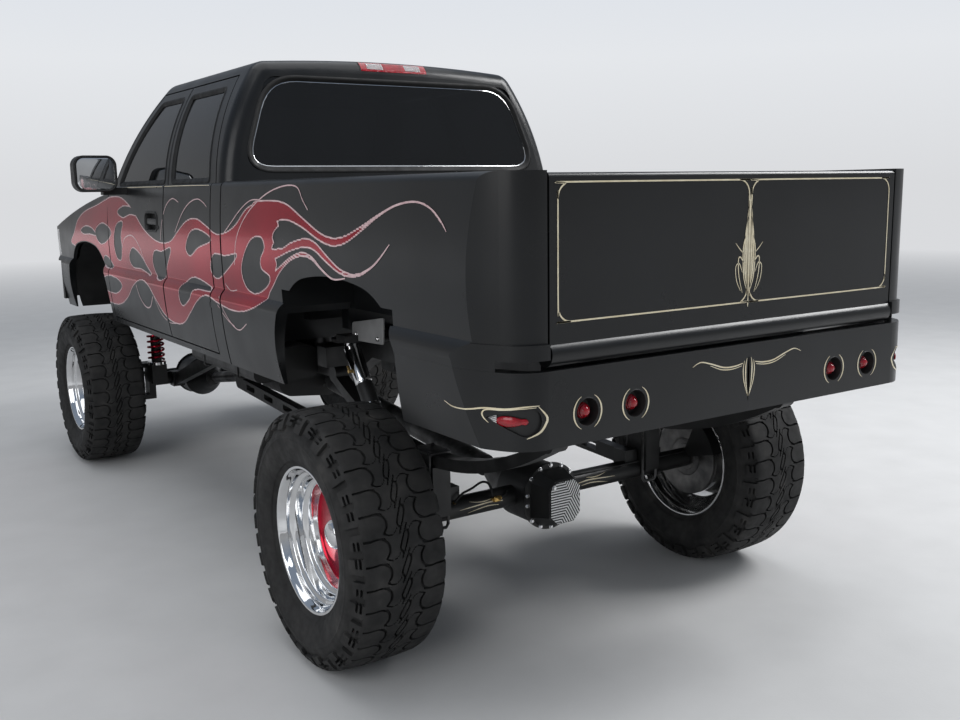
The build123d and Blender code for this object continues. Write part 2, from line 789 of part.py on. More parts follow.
save(front_fenders.part, "front_fenders")

with BuildPart() as grille:
    add(nose_solid)
    with Locations((0, nose_y - lamp_depth / 2, (fascia_low_z + fascia_high_z) / 2)):
        Box(2 * grille_half, lamp_depth * 2, fascia_high_z - fascia_low_z,
            align=(Align.CENTER, Align.MIN, Align.CENTER), mode=Mode.INTERSECT)
    with BuildSketch(cross_section(nose_y + 40)):
        with Locations((0, (fascia_low_z + fascia_high_z) / 2)):
            with GridLocations(0, 38, 1, 4):
                Rectangle(2 * grille_half - 60, 22)
    extrude(amount=200, mode=Mode.SUBTRACT)
save(grille.part, "grille")

with BuildPart() as headlamps:
    add(nose_solid)
    with Locations((0, nose_y - lamp_depth, fascia_low_z)):
        Box(2 * body_half_width + 20, 2 * lamp_depth, fascia_high_z - fascia_low_z,
            align=(Align.CENTER, Align.MIN, Align.MIN), mode=Mode.INTERSECT)
        Box(2 * lamp_inner_x, 2 * lamp_depth + 20, fascia_high_z,
            align=(Align.CENTER, Align.MIN, Align.MIN), mode=Mode.SUBTRACT)
save(headlamps.part, "headlamps")

bumper_outer = plan_outline(body_front, body_front - bumper_return, bumper_half, 0,
                            bumper_radius, bumper_low_z, bumper_high_z)
bumper_inner = plan_outline(body_front - bumper_wall, body_front - bumper_return - 50,
                            bumper_half - bumper_wall, 0, bumper_radius - bumper_wall,
                            bumper_low_z - 10, bumper_high_z + 10)
with BuildPart() as front_bumper:
    add(bumper_outer)
    add(bumper_inner, mode=Mode.SUBTRACT)
    with BuildSketch(cross_section(body_front + 20)):
        with Locations((0, (bumper_low_z + bumper_high_z) / 2 - 40)):
            RectangleRounded(800, 70, 30)
    extrude(amount=200, mode=Mode.SUBTRACT)
save(front_bumper.part, "front_bumper")

# Bed, roll pan, tailgate and rear lamps
bed_face_y = body_rear + 9
bed_wall_front = 45.0
bed_side_skin = body_half_width - 50
tailgate_half = body_half_width - 190
tailgate_side_gap = 7.0
tailgate_panel_front = bed_face_y + 4
tailgate_thickness = 45.0
tailgate_top_z = rail_z - 6
tailgate_lip_radius = 38.0
tailgate_hinge_y = body_rear + 38
tailgate_hinge_z = 1280.0
tailgate_pocket = 81.0
tailgate_pin_radius = 10.0
tailgate_pin_reach = 22.0
wheelhouse_half_length = 470.0
wheelhouse_top_z = 1530.0
wheelhouse_wall = 20.0
bed_sill_width = 60.0
upper_step = 13.0
pan_wall = 18.0
pan_front_y = rear_axle_y - arch_half_length + 12
bed_block = skin_section(bed_front_y, bed_front_y - body_rear, rail_z, belt_half_width,
                         rail_edge_radius)
bed_low_plan = plan_outline(bed_front_y + 10, body_rear, body_half_width + 5, corner_radius, 0,
                            rocker_z - 10, crease_z - 4)
bed_high_plan = plan_outline(bed_front_y + 10, body_rear + upper_step, body_half_width + 5,
                             corner_radius, 0, crease_z - 4, rail_z + 10)
rear_arch = arch_cutter(rear_axle_y, wheelhouse_half + wheelhouse_wall, body_half_width + 50)
with BuildPart() as bed:
    add(bed_low_plan)
    add(bed_high_plan)
    add(bed_block, mode=Mode.INTERSECT)
    inner_rear = body_rear + tailgate_pocket
    inner_length = bed_front_y - bed_wall_front - inner_rear
    with Locations((0, inner_rear, bed_floor_z)):
        Box(2 * bed_inner_half, inner_length, rail_z, align=(Align.CENTER, Align.MIN, Align.MIN),
            mode=Mode.SUBTRACT)
    with Locations((0, inner_rear + 10, rocker_z - 10)):
        Box(2 * (tailgate_half + tailgate_side_gap), tailgate_pocket + 200, rail_z,
            align=(Align.CENTER, Align.MAX, Align.MIN), mode=Mode.SUBTRACT)
    with Locations((0, (bed_front_y + body_rear) / 2, rocker_z - 10)):
        Box(2 * bed_side_skin, 2 * bed_length + 2 * rear_overhang,
            bed_floor_z - bed_floor_thickness - rocker_z + 10,
            align=(Align.CENTER, Align.CENTER, Align.MIN), mode=Mode.SUBTRACT)
    with Locations((0, pan_front_y, rocker_z - 10)):
        Box(2 * body_half_width + 40, 2 * rear_overhang, pan_top_z + seat_gap - rocker_z + 10,
            align=(Align.CENTER, Align.MAX, Align.MIN), mode=Mode.SUBTRACT)
    house_x = (wheelhouse_half + bed_side_skin) / 2
    house_width = bed_side_skin + 20 - wheelhouse_half
    with Locations((house_x, rear_axle_y, bed_floor_z - bed_floor_thickness),
                   (-house_x, rear_axle_y, bed_floor_z - bed_floor_thickness)):
        Box(house_width, 2 * wheelhouse_half_length,
            wheelhouse_top_z - bed_floor_z + bed_floor_thickness,
            align=(Align.CENTER, Align.CENTER, Align.MIN))
    with Locations((house_x + wheelhouse_wall, rear_axle_y, rocker_z),
                   (-house_x - wheelhouse_wall, rear_axle_y, rocker_z)):
        Box(house_width, 2 * (wheelhouse_half_length - wheelhouse_wall),
            wheelhouse_top_z - wheelhouse_wall - rocker_z,
            align=(Align.CENTER, Align.CENTER, Align.MIN), mode=Mode.SUBTRACT)
    add(rear_arch, mode=Mode.SUBTRACT)
    with Locations((tailgate_half + tailgate_side_gap, tailgate_hinge_y, tailgate_hinge_z),
                   (-tailgate_half - tailgate_side_gap, tailgate_hinge_y, tailgate_hinge_z)):
        Cylinder(tailgate_pin_radius, 2 * (tailgate_pin_reach + tailgate_side_gap),
                 rotation=(0, 90, 0))
    sill_low_z = rail_high_z + rail_height + seat_gap
    sill_stations = (rear_axle_y - 780, rear_axle_y + 560, rear_axle_y + 960)
    with Locations(*[(0, y, sill_low_z) for y in sill_stations]):
        Box(2 * wheelhouse_half, bed_sill_width,
            bed_floor_z - bed_floor_thickness - sill_low_z + 5,
            align=(Align.CENTER, Align.CENTER, Align.MIN))
save(bed.part, "bed")

lamp_z = 1100.0
lamp_hole_radius = 42.0
lamp_cup_radius = 54.0
lamp_cup_depth = 58.0
lamp_row = (-665.0, -475.0, 475.0, 665.0)
pan_room = plan_outline(pan_front_y + 100, body_rear + pan_wall, rocker_half_width - pan_wall,
                        corner_radius - pan_wall, 0, rocker_z - 20, pan_top_z + 20)
teardrop_turn = 35.0
teardrop_x = body_half_width + 5 - corner_radius
teardrop_y = body_rear + corner_radius
teardrop_z = lamp_z - 5
teardrop_round = -52.0
teardrop_radius = 45.0
teardrop_tip = (68.0, 8.0)
teardrop_depth = 13.0
teardrop_lens_depth = 5.0
teardrop_across = (sin(radians(teardrop_turn)), -cos(radians(teardrop_turn)), 0)


def teardrop_prism(shrink):
    """Prism through the right rear corner from the teardrop outline, shrunk on all sides."""
    along = (cos(radians(teardrop_turn)), sin(radians(teardrop_turn)), 0)
    face = Plane(origin=(teardrop_x, teardrop_y, teardrop_z), x_dir=along, z_dir=teardrop_across)
    radius = teardrop_radius - shrink
    reach = hypot(teardrop_tip[0] - teardrop_round, teardrop_tip[1])
    heading = atan2(teardrop_tip[1], teardrop_tip[0] - teardrop_round)
    tip_reach = reach - shrink * reach / teardrop_radius
    spread = acos(radius / tip_reach)
    tip = (teardrop_round + tip_reach * cos(heading), tip_reach * sin(heading))
    top, bottom = ((teardrop_round + radius * cos(heading + turn), radius * sin(heading + turn))
                   for turn in (spread, -spread))
    with BuildPart() as solid:
        with BuildSketch(face):
            with Locations((teardrop_round, 0)):
                Circle(radius)
            with BuildLine():
                Polyline((teardrop_round, 0), bottom, tip, top, close=True)
            make_face()
        extrude(amount=2 * corner_radius)
    return solid.part


def sunk(solid, depth):
    """The same solid moved into the corner, away from the face of its teardrop lamp."""
    return solid.moved(Location(tuple(-depth * part for part in teardrop_across)))


with BuildPart() as pan_skin:
    add(bed_low_plan)
    add(bed_block, mode=Mode.INTERSECT)
with BuildPart() as teardrop_pockets:
    add(teardrop_prism(0))
    add(sunk(pan_skin.part, teardrop_depth), mode=Mode.SUBTRACT)
    mirror(about=Plane.YZ)
with BuildPart() as teardrop_lenses:
    add(teardrop_prism(seat_gap))
    add(sunk(pan_skin.part, teardrop_lens_depth), mode=Mode.INTERSECT)
    add(sunk(pan_skin.part, teardrop_depth - seat_gap), mode=Mode.SUBTRACT)
    mirror(about=Plane.YZ)
with BuildPart() as roll_pan:
    add(pan_skin.part)
    with Locations((0, pan_front_y - 2, pan_bottom_z)):
        Box(2 * body_half_width + 40, 2 * rear_overhang, pan_top_z - pan_bottom_z,
            align=(Align.CENTER, Align.MAX, Align.MIN), mode=Mode.INTERSECT)
    add(pan_room, mode=Mode.SUBTRACT)
    add(teardrop_pockets, mode=Mode.SUBTRACT)
    with BuildSketch(cross_section(body_rear + 2 * corner_radius)):
        with Locations(*[(x, lamp_z) for x in lamp_row]):
            Circle(lamp_hole_radius)
    extrude(amount=3 * corner_radius, mode=Mode.SUBTRACT)
save(roll_pan.part, "roll_pan")

with BuildPart() as tailgate:
    with BuildSketch(Plane.YZ.offset(-tailgate_half)) as gate_side:
        with Locations((tailgate_panel_front + tailgate_thickness / 2,
                        (tailgate_hinge_z + tailgate_top_z) / 2)):
            Rectangle(tailgate_thickness, tailgate_top_z - tailgate_hinge_z)
        fillet(gate_side.vertices().group_by(Axis.Y)[-1], 15)
        with Locations((tailgate_hinge_y, tailgate_hinge_z)):
            Circle(tailgate_lip_radius)
    extrude(amount=2 * tailgate_half)
    with Locations((tailgate_half, tailgate_hinge_y, tailgate_hinge_z),
                   (-tailgate_half, tailgate_hinge_y, tailgate_hinge_z)):
        Cylinder(tailgate_pin_radius + running_gap, 2 * (tailgate_pin_reach + 2),
                 rotation=(0, 90, 0), mode=Mode.SUBTRACT)
save(tailgate.part, "tailgate")

with BuildPart() as lamp_unit:
    with BuildSketch(Plane.YZ.offset(0)):
        with BuildLine():
            back = body_rear + lamp_cup_depth
            face = body_rear + 42
            tip = body_rear + 3
            rim = body_rear + pan_wall + seat_gap
            Polyline((back, 0), (back, lamp_cup_radius), (rim, lamp_cup_radius),
                     (rim, lamp_hole_radius), (face, lamp_hole_radius), (face, 22),
                     (face - 26, 14), (tip, 0), close=True)
        make_face()
    revolve(axis=Axis.Y)
with BuildPart() as tail_lamps:
    for x in lamp_row:
        add(lamp_unit.part.moved(Location((x, 0, lamp_z))))
    add(teardrop_lenses)
    add(brake_lamp)
save(tail_lamps.part, "tail_lamps")

# Frame
def frame_outline(shrink):
    """Frame rail in the side view, stepped up over both axles."""
    low, high = rail_low_z + shrink, rail_high_z + shrink
    top = rail_height - 2 * shrink
    line = (
        (rail_rear_y, high), (kick_rear_y, high), (kick_front_y, low),
        (front_kick_y, low), (front_kick_end_y, high), (rail_front_y, high),
    )
    back = [(y, z + top) for y, z in reversed(line)]
    return list(line) + back


rail_web = 8.0
mount_radius = 42.0
crossmember_width = 90.0
crossmember_height = 80.0
crossmembers = (
    (rail_rear_y + 60, rail_high_z), (rear_axle_y + 500, rail_high_z),
    (rear_axle_y + 1500, rail_low_z), (rail_front_y - 160, rail_high_z),
)
cab_mounts = (rear_axle_y + 1200, rear_axle_y + 2000, front_axle_y - 800)
tower_y = front_axle_y - 125
tower_x = 600.0
tower_z = 1186.0
leaf_x = 560.0
leaf_width = 64.0
leaf_thickness = 48.0
leaf_front_eye_y = rear_axle_y + 800
leaf_rear_eye_y = rear_axle_y - 780
leaf_eye_z = 935.0
leaf_eye_radius = 38.0
leaf_seat_z = 690.0
bar_x = 480.0
bar_width = 50.0
bar_height = 66.0
bar_front_y = rear_axle_y + 2250
bar_front_z = 665.0
bar_rear_y = rear_axle_y + 62
bar_rear_z = 545.0
arm_x = 445.0
arm_width = 56.0
arm_rear_y = front_axle_y - 950
arm_rear_z = 760.0
shock_x = 640.0
shock_radius = 34.0
shock_low_y = rear_axle_y + 95
shock_low_z = 560.0
shock_high_y = rear_axle_y + 520
shock_high_z = 1120.0
with BuildPart() as frame_rails:
    with BuildSketch(Plane.YZ.offset(rail_x - rail_width / 2)):
        with BuildLine():
            Polyline(*frame_outline(0), close=True)
        make_face()
    extrude(amount=rail_width)
    with BuildSketch(Plane.YZ.offset(rail_x - rail_width / 2)):
        with BuildLine():
            Polyline(*frame_outline(rail_web), close=True)
        make_face()
    extrude(amount=rail_width - rail_web, mode=Mode.SUBTRACT)
    with Locations(*[(rail_x, y, rail_low_z + rail_height) for y in cab_mounts]):
        Cylinder(mount_radius, floor_z - seat_gap - rail_low_z - rail_height,
                 align=(Align.CENTER, Align.CENTER, Align.MIN))
    with Locations((rail_x + rail_width / 2 - 5, tower_y, rail_high_z + 40)):
        Box(tower_x + 75 - rail_x - rail_width / 2 + 5, 120, tower_z - rail_high_z - 40,
            align=(Align.MIN, Align.CENTER, Align.MIN))
    with Locations((rail_x + rail_width / 2 + 8, tower_y, rail_high_z - 60)):
        Box(300, 90, tower_z - 30 - rail_high_z + 60,
            align=(Align.MIN, Align.CENTER, Align.MIN), mode=Mode.SUBTRACT)
    with Locations((leaf_x, leaf_front_eye_y, leaf_eye_z + leaf_eye_radius + seat_gap),
                   (leaf_x, leaf_rear_eye_y, leaf_eye_z + leaf_eye_radius + seat_gap)):
        Box(leaf_width + 2 * (leaf_x - leaf_width / 2 - rail_x - rail_width / 2), 90, 90,
            align=(Align.CENTER, Align.CENTER, Align.MIN))
    with Locations((bar_x, bar_front_y, bar_front_z + bar_height / 2 + seat_gap)):
        Box(bar_width, 100, rail_low_z + rail_web - bar_front_z - bar_height / 2 - seat_gap,
            align=(Align.CENTER, Align.CENTER, Align.MIN))
    with Locations((arm_x, arm_rear_y, arm_rear_z + 45 + seat_gap)):
        Box(arm_width, 110, rail_low_z + rail_web - arm_rear_z - 45 - seat_gap,
            align=(Align.CENTER, Align.CENTER, Align.MIN))
    with Locations((rail_x + rail_width / 2 - 5, shock_high_y, shock_high_z)):
        Box(shock_x + 40 - rail_x - rail_width / 2 + 5, 90, 30,
            align=(Align.MIN, Align.CENTER, Align.MIN))
    mirror(about=Plane.YZ)
    for y, low_z in crossmembers:
        with Locations((0, y, low_z + (rail_height - crossmember_height) / 2)):
            Box(2 * (rail_x + rail_width / 2 - rail_web), crossmember_width, crossmember_height,
                align=(Align.CENTER, Align.CENTER, Align.MIN))
save(frame_rails.part, "frame_rails")

# Engine, gearbox and drive
engine_length = 700.0
engine_width = 640.0
engine_low_z = 900.0
engine_high_z = 1500.0
engine_centre_y = front_axle_y + 60
gearbox_radius = 150.0
gearbox_z = 893.0
transfer_front_y = rear_axle_y + 2300
transfer_rear_y = rear_axle_y + 2000
output_z = 668.0
output_x = -50.0
front_output_x = -270.0
with BuildPart() as engine_block:
    with Locations((0, engine_centre_y, engine_low_z)):
        Box(engine_width, engine_length, engine_high_z - engine_low_z,
            align=(Align.CENTER, Align.CENTER, Align.MIN))
    fillet(engine_block.edges().filter_by(Axis.Y), 60)
    with Locations((0, engine_centre_y, rail_high_z + 20)):
        Box(2 * (rail_x - rail_width / 2 - seat_gap), 120, 80,
            align=(Align.CENTER, Align.CENTER, Align.MIN))
save(engine_block.part, "engine_block")

engine_rear_y = engine_centre_y - engine_length / 2
with BuildPart() as transmission:
    with BuildSketch(cross_section(engine_rear_y - seat_gap)):
        with Locations((0, gearbox_z)):
            Circle(gearbox_radius)
    with BuildSketch(cross_section(engine_rear_y - 260)):
        with Locations((0, gearbox_z - 20)):
            Circle(gearbox_radius - 30)
    loft()
    with BuildSketch(cross_section(engine_rear_y - 260)):
        with Locations((0, gearbox_z - 20)):
            Circle(gearbox_radius - 30)
    with BuildSketch(cross_section(transfer_front_y)):
        with Locations((0, gearbox_z - 140)):
            Circle(gearbox_radius - 40)
    loft()
    with BuildSketch(cross_section(transfer_front_y)) as case:
        with Locations((0, gearbox_z - 140)):
            Circle(gearbox_radius)
        with Locations((output_x, output_z)):
            Circle(95)
        with Locations((front_output_x, output_z + 10)):
            Circle(85)
        make_hull()
    extrude(amount=transfer_front_y - transfer_rear_y)
save(transmission.part, "transmission")


def rod(start, end, radius):
    """Round bar between two points."""
    axis = Vector(*end) - Vector(*start)
    with BuildPart() as solid:
        with BuildSketch(Plane(origin=start, z_dir=axis)):
            Circle(radius)
        extrude(amount=axis.length)
    return solid.part


rear_pinion_y = rear_axle_y + 300
rear_pinion_z = axle_z + 18
front_pinion_y = front_axle_y - 290
front_pinion_z = axle_z + 18
shaft_radius = 50.0
front_shaft_radius = 36.0
stub_length = 70.0


def propeller_shaft(start, end, radius):
    """Tube with a slimmer joint at each end, as near to both flanges as its tilt allows."""
    axis = Vector(*end) - Vector(*start)
    stub = radius / 2
    tilt = sqrt(axis.X ** 2 + axis.Z ** 2) / axis.length
    gap = axis.normalized() * (stub * tilt + 2 * seat_gap)
    near, far = Vector(*start) + gap, Vector(*end) - gap
    inset = axis.normalized() * stub_length
    return rod(tuple(near), tuple(far), stub) + rod(tuple(near + inset), tuple(far - inset), radius)


rear_shaft = propeller_shaft((output_x, rear_pinion_y, rear_pinion_z),
                             (output_x, transfer_rear_y, output_z), shaft_radius)
front_shaft = propeller_shaft((front_output_x, transfer_front_y, output_z + 10),
                              (front_output_x, front_pinion_y, front_pinion_z),
                              front_shaft_radius)
with BuildPart() as driveshafts:
    add(rear_shaft)
    add(front_shaft)
save(driveshafts.part, "driveshafts")

tank_length = 900.0
tank_height = 160.0
tank_low_z = 850.0
tank_centre_y = rear_axle_y + 1650
tank_inner_x = rail_x + rail_width / 2 + seat_gap
tank_width = 330.0
with BuildPart() as fuel_tank:
    with Locations((-tank_inner_x, tank_centre_y, tank_low_z)):
        Box(tank_width, tank_length, tank_height, align=(Align.MAX, Align.CENTER, Align.MIN))
    fillet(fuel_tank.edges().filter_by(Axis.Y), 40)
save(fuel_tank.part, "fuel_tank")

exhaust_x = 620.0
exhaust_z = 930.0
pipe_radius = 36.0
muffler_radius = 82.0
muffler_length = 620.0
exhaust_front_y = front_axle_y - 900
exhaust_rear_y = rear_axle_y + 950
with BuildPart() as exhaust:
    with BuildSketch(cross_section(exhaust_front_y)):
        with Locations((exhaust_x, exhaust_z)):
            Circle(pipe_radius)
    extrude(amount=exhaust_front_y - exhaust_rear_y)
    with BuildSketch(cross_section((exhaust_front_y + exhaust_rear_y + muffler_length) / 2)):
        with Locations((exhaust_x, exhaust_z)):
            Circle(muffler_radius)
    extrude(amount=muffler_length)
    with Locations((rail_x + rail_width / 2 + seat_gap,
                    (exhaust_front_y + exhaust_rear_y) / 2, exhaust_z)):
        Box(exhaust_x - rail_x - rail_width / 2 - seat_gap, 30, 40,
            align=(Align.MIN, Align.CENTER, Align.CENTER))
save(exhaust.part, "exhaust")

# Brake calipers, of rings cut to a sector behind and above the hub
caliper_clearance = 5.5
caliper_angle = 140.0
caliper_spread = 25.0
caliper_plate = 15.0
caliper_radius = 208.0
caliper_pad_radius = 124.0
caliper_bracket_radius = 38.0
disc_inner_x = hub_inner_x + disc_step
disc_outer_x = disc_inner_x + disc_thickness


def caliper_ring(near_x, far_x, inner, outer):
    """Sector of a ring about the wheel's axis, between two planes of constant x."""
    with BuildPart() as solid:
        with BuildSketch(Plane.YZ.offset(near_x)):
            Circle(outer)
            Circle(inner, mode=Mode.SUBTRACT)
            with BuildLine():
                ends = [(2 * outer * cos(radians(caliper_angle + turn)),
                         2 * outer * sin(radians(caliper_angle + turn)))
                        for turn in (-caliper_spread, caliper_spread)]
                Polyline((0, 0), *ends, close=True)
            make_face(mode=Mode.INTERSECT)
        extrude(amount=far_x - near_x)
    return solid.part


caliper_near_x = disc_inner_x - caliper_clearance - 22
caliper_far_x = disc_outer_x + caliper_clearance + caliper_plate
with BuildPart() as caliper:
    add(caliper_ring(caliper_near_x, hub_inner_x - 8, caliper_bracket_radius, caliper_radius))
    add(caliper_ring(caliper_near_x, disc_inner_x - caliper_clearance, caliper_pad_radius,
                     caliper_radius))
    add(caliper_ring(disc_outer_x + caliper_clearance, caliper_far_x, caliper_pad_radius,
                     caliper_radius))
    add(caliper_ring(caliper_near_x, caliper_far_x, disc_radius + caliper_clearance,
                     caliper_radius))
with BuildPart() as caliper_mirrored:
    add(caliper)
    mirror(about=Plane.YZ, mode=Mode.REPLACE)
calipers = {1: caliper.part, -1: caliper_mirrored.part}

# Rear axle and what locates it
tube_radius = 44.0
rear_housing_x = -50.0
housing_radius = 132.0
cover_radius = 142.0
cover_flange = 12.0
cover_depth = 105.0
cover_side_cut = 12.0
cover_base_half = (105.0, 117.0)
cover_base_chamfer = 42.0
cover_draft = 25.0
cover_face_chamfer = 34.0
housing_depth = 95.0
fin_height = 7.0
fin_width = 5.0
fin_pitch = 11.0
fin_margin = 4.0
fin_centre = (32.0, 18.0)
fin_folds = (120.0, 0.0, -120.0)
fin_arm_turn = 60.0
pad_height = leaf_seat_z - axle_z


def cover_octagon(y, halves, chamfer_size, inset=0.0):
    """Sketch across the truck at y: the cover's rectangle with its corners cut off."""
    with BuildSketch(cross_section(y)) as outline:
        with Locations((rear_housing_x, axle_z)):
            Rectangle(2 * (halves[0] - inset), 2 * (halves[1] - inset))
        chamfer(outline.vertices(), chamfer_size)
    return outline.sketch


def from_fin_centre(start, angle, reach):
    """Point that lies reach away from start, at an angle in degrees."""
    return (start[0] + reach * cos(radians(angle)), start[1] + reach * sin(radians(angle)))


def chevron(fold, distance):
    """Corners of one bent fin: its arms lie this distance from the two spokes beside it."""
    rise = sin(radians(fin_arm_turn))
    centre = (rear_housing_x + fin_centre[0], axle_z + fin_centre[1])
    arm = 4 * cover_radius
    outer = from_fin_centre(centre, fold, (distance + fin_width / 2) / rise)
    inner = from_fin_centre(centre, fold, (distance - fin_width / 2) / rise)
    high, low = fold + fin_arm_turn, fold - fin_arm_turn
    return (outer, from_fin_centre(outer, high, arm), from_fin_centre(inner, high, arm), inner,
            from_fin_centre(inner, low, arm), from_fin_centre(outer, low, arm))


cover_flange_y = rear_axle_y - housing_depth - cover_flange
cover_face_y = rear_axle_y - housing_depth - cover_depth
cover_face_half = tuple(half - cover_draft for half in cover_base_half)
fin_rows = int(2 * max(cover_face_half) / fin_pitch) + 1
with BuildPart() as cover_fins:
    with BuildSketch(cross_section(cover_face_y + 1)):
        for fold in fin_folds:
            for row in range(fin_rows):
                with BuildLine():
                    Polyline(*chevron(fold, (row + 0.5) * fin_pitch), close=True)
                make_face()
        add(cover_octagon(0, cover_face_half, cover_face_chamfer, fin_margin),
            mode=Mode.INTERSECT)
    extrude(amount=fin_height + 1)
with BuildPart() as cover_shell:
    add(cover_octagon(cover_flange_y + 1, cover_base_half, cover_base_chamfer))
    add(cover_octagon(cover_face_y, cover_face_half, cover_face_chamfer))
    loft()
with BuildPart() as rear_axle:
    with BuildSketch(Plane.YZ.offset(-hub_inner_x + 8)):
        with Locations((rear_axle_y, axle_z)):
            Circle(tube_radius)
    extrude(amount=2 * (hub_inner_x - 8))
    with BuildSketch(Plane.YZ.offset(-mount_face_x + 6)):
        with Locations((rear_axle_y, axle_z)):
            Circle(spindle_radius)
    extrude(amount=2 * (mount_face_x - 6))
    with BuildSketch(cross_section(rear_axle_y - housing_depth)):
        with Locations((rear_housing_x, axle_z)):
            Circle(cover_radius)
            Rectangle(2 * (cover_radius - cover_side_cut), 2 * cover_radius, mode=Mode.INTERSECT)
    extrude(amount=cover_flange)
    with BuildSketch(cross_section(rear_axle_y + housing_depth)):
        with Locations((rear_housing_x, axle_z)):
            Circle(housing_radius)
    extrude(amount=2 * housing_depth)
    add(cover_shell)
    add(cover_fins)
    with BuildSketch(cross_section(rear_axle_y + housing_depth)):
        with Locations((rear_housing_x, axle_z)):
            Circle(housing_radius)
    with BuildSketch(cross_section(rear_pinion_y)):
        with Locations((output_x, rear_pinion_z)):
            Circle(58)
    loft()
    for side in (-1, 1):
        with Locations((side * leaf_x, rear_axle_y, axle_z)):
            Box(leaf_width + 16, 150, pad_height - seat_gap,
                align=(Align.CENTER, Align.CENTER, Align.MIN))
        with Locations((side * shock_x, shock_low_y - 40, shock_low_z - 60)):
            Box(60, 130, 60, align=(Align.CENTER, Align.CENTER, Align.MIN))
        with Locations((side * bar_x, rear_axle_y + 20, bar_rear_z)):
            Box(bar_width + 20, 80, bar_height, align=(Align.CENTER, Align.CENTER, Align.CENTER))
        add(calipers[side].moved(Location((0, rear_axle_y, axle_z))))
save(rear_axle.part, "rear_axle")

with BuildPart() as leaf_springs:
    with BuildSketch(Plane.YZ.offset(leaf_x - leaf_width / 2)):
        with BuildLine():
            front_eye = (leaf_front_eye_y, leaf_eye_z - leaf_eye_radius)
            rear_eye = (leaf_rear_eye_y, leaf_eye_z - leaf_eye_radius)
            ThreePointArc(front_eye, (rear_axle_y, leaf_seat_z), rear_eye)
            Line(rear_eye, (rear_eye[0], rear_eye[1] + leaf_thickness))
            ThreePointArc((rear_eye[0], rear_eye[1] + leaf_thickness),
                          (rear_axle_y, leaf_seat_z + leaf_thickness),
                          (front_eye[0], front_eye[1] + leaf_thickness))
            Line((front_eye[0], front_eye[1] + leaf_thickness), front_eye)
        make_face()
        with Locations((leaf_front_eye_y, leaf_eye_z), (leaf_rear_eye_y, leaf_eye_z)):
            Circle(leaf_eye_radius)
    extrude(amount=leaf_width)
    mirror(about=Plane.YZ)
save(leaf_springs.part, "leaf_springs")

bar_hole_length = 120.0
bar_hole_height = 30.0
bar_hole_count = 8
bar_slope = degrees(atan2(bar_front_z - bar_rear_z, bar_front_y - bar_rear_y))
bar_holes = []
for hole in range(bar_hole_count):
    share = (hole + 0.75) / (bar_hole_count + 0.5)
    bar_holes.append((bar_rear_y + share * (bar_front_y - bar_rear_y),
                      bar_rear_z + share * (bar_front_z - bar_rear_z)))
with BuildPart() as traction_bars:
    with BuildSketch(Plane.YZ.offset(bar_x - bar_width / 2)):
        with BuildLine():
            Polyline((bar_rear_y, bar_rear_z - bar_height / 2),
                     (bar_front_y, bar_front_z - bar_height / 2),
                     (bar_front_y, bar_front_z + bar_height / 2),
                     (bar_rear_y, bar_rear_z + bar_height / 2), close=True)
        make_face()
        with Locations((bar_front_y, bar_front_z)):
            Circle(bar_height / 2)
        with Locations(*bar_holes):
            RectangleRounded(bar_hole_length, bar_hole_height, 8, rotation=bar_slope,
                             mode=Mode.SUBTRACT)
    extrude(amount=bar_width)
    mirror(about=Plane.YZ)
save(traction_bars.part, "traction_bars")

shock_axis = Vector(0, shock_high_y - shock_low_y, shock_high_z - shock_low_z)
shock_low = Vector(shock_x, shock_low_y, shock_low_z) + shock_axis.normalized() * 30
shock_mid = Vector(shock_x, shock_low_y, shock_low_z) + shock_axis * 0.45
shock_top = Vector(shock_x, shock_high_y, shock_high_z) - shock_axis.normalized() * 30
shock_rod = rod(tuple(shock_low), tuple(shock_top), shock_radius * 0.45)
shock_body = rod(tuple(shock_mid), tuple(shock_top), shock_radius)
with BuildPart() as rear_shocks:
    add(shock_rod)
    add(shock_body)
    with Locations((shock_x, shock_low_y, shock_low_z + seat_gap)):
        Cylinder(22, 34, align=(Align.CENTER, Align.CENTER, Align.MIN))
    with Locations((shock_x, shock_high_y, shock_high_z - seat_gap)):
        Cylinder(22, 34, align=(Align.CENTER, Align.CENTER, Align.MAX))
    mirror(about=Plane.YZ)
save(rear_shocks.part, "rear_shocks")

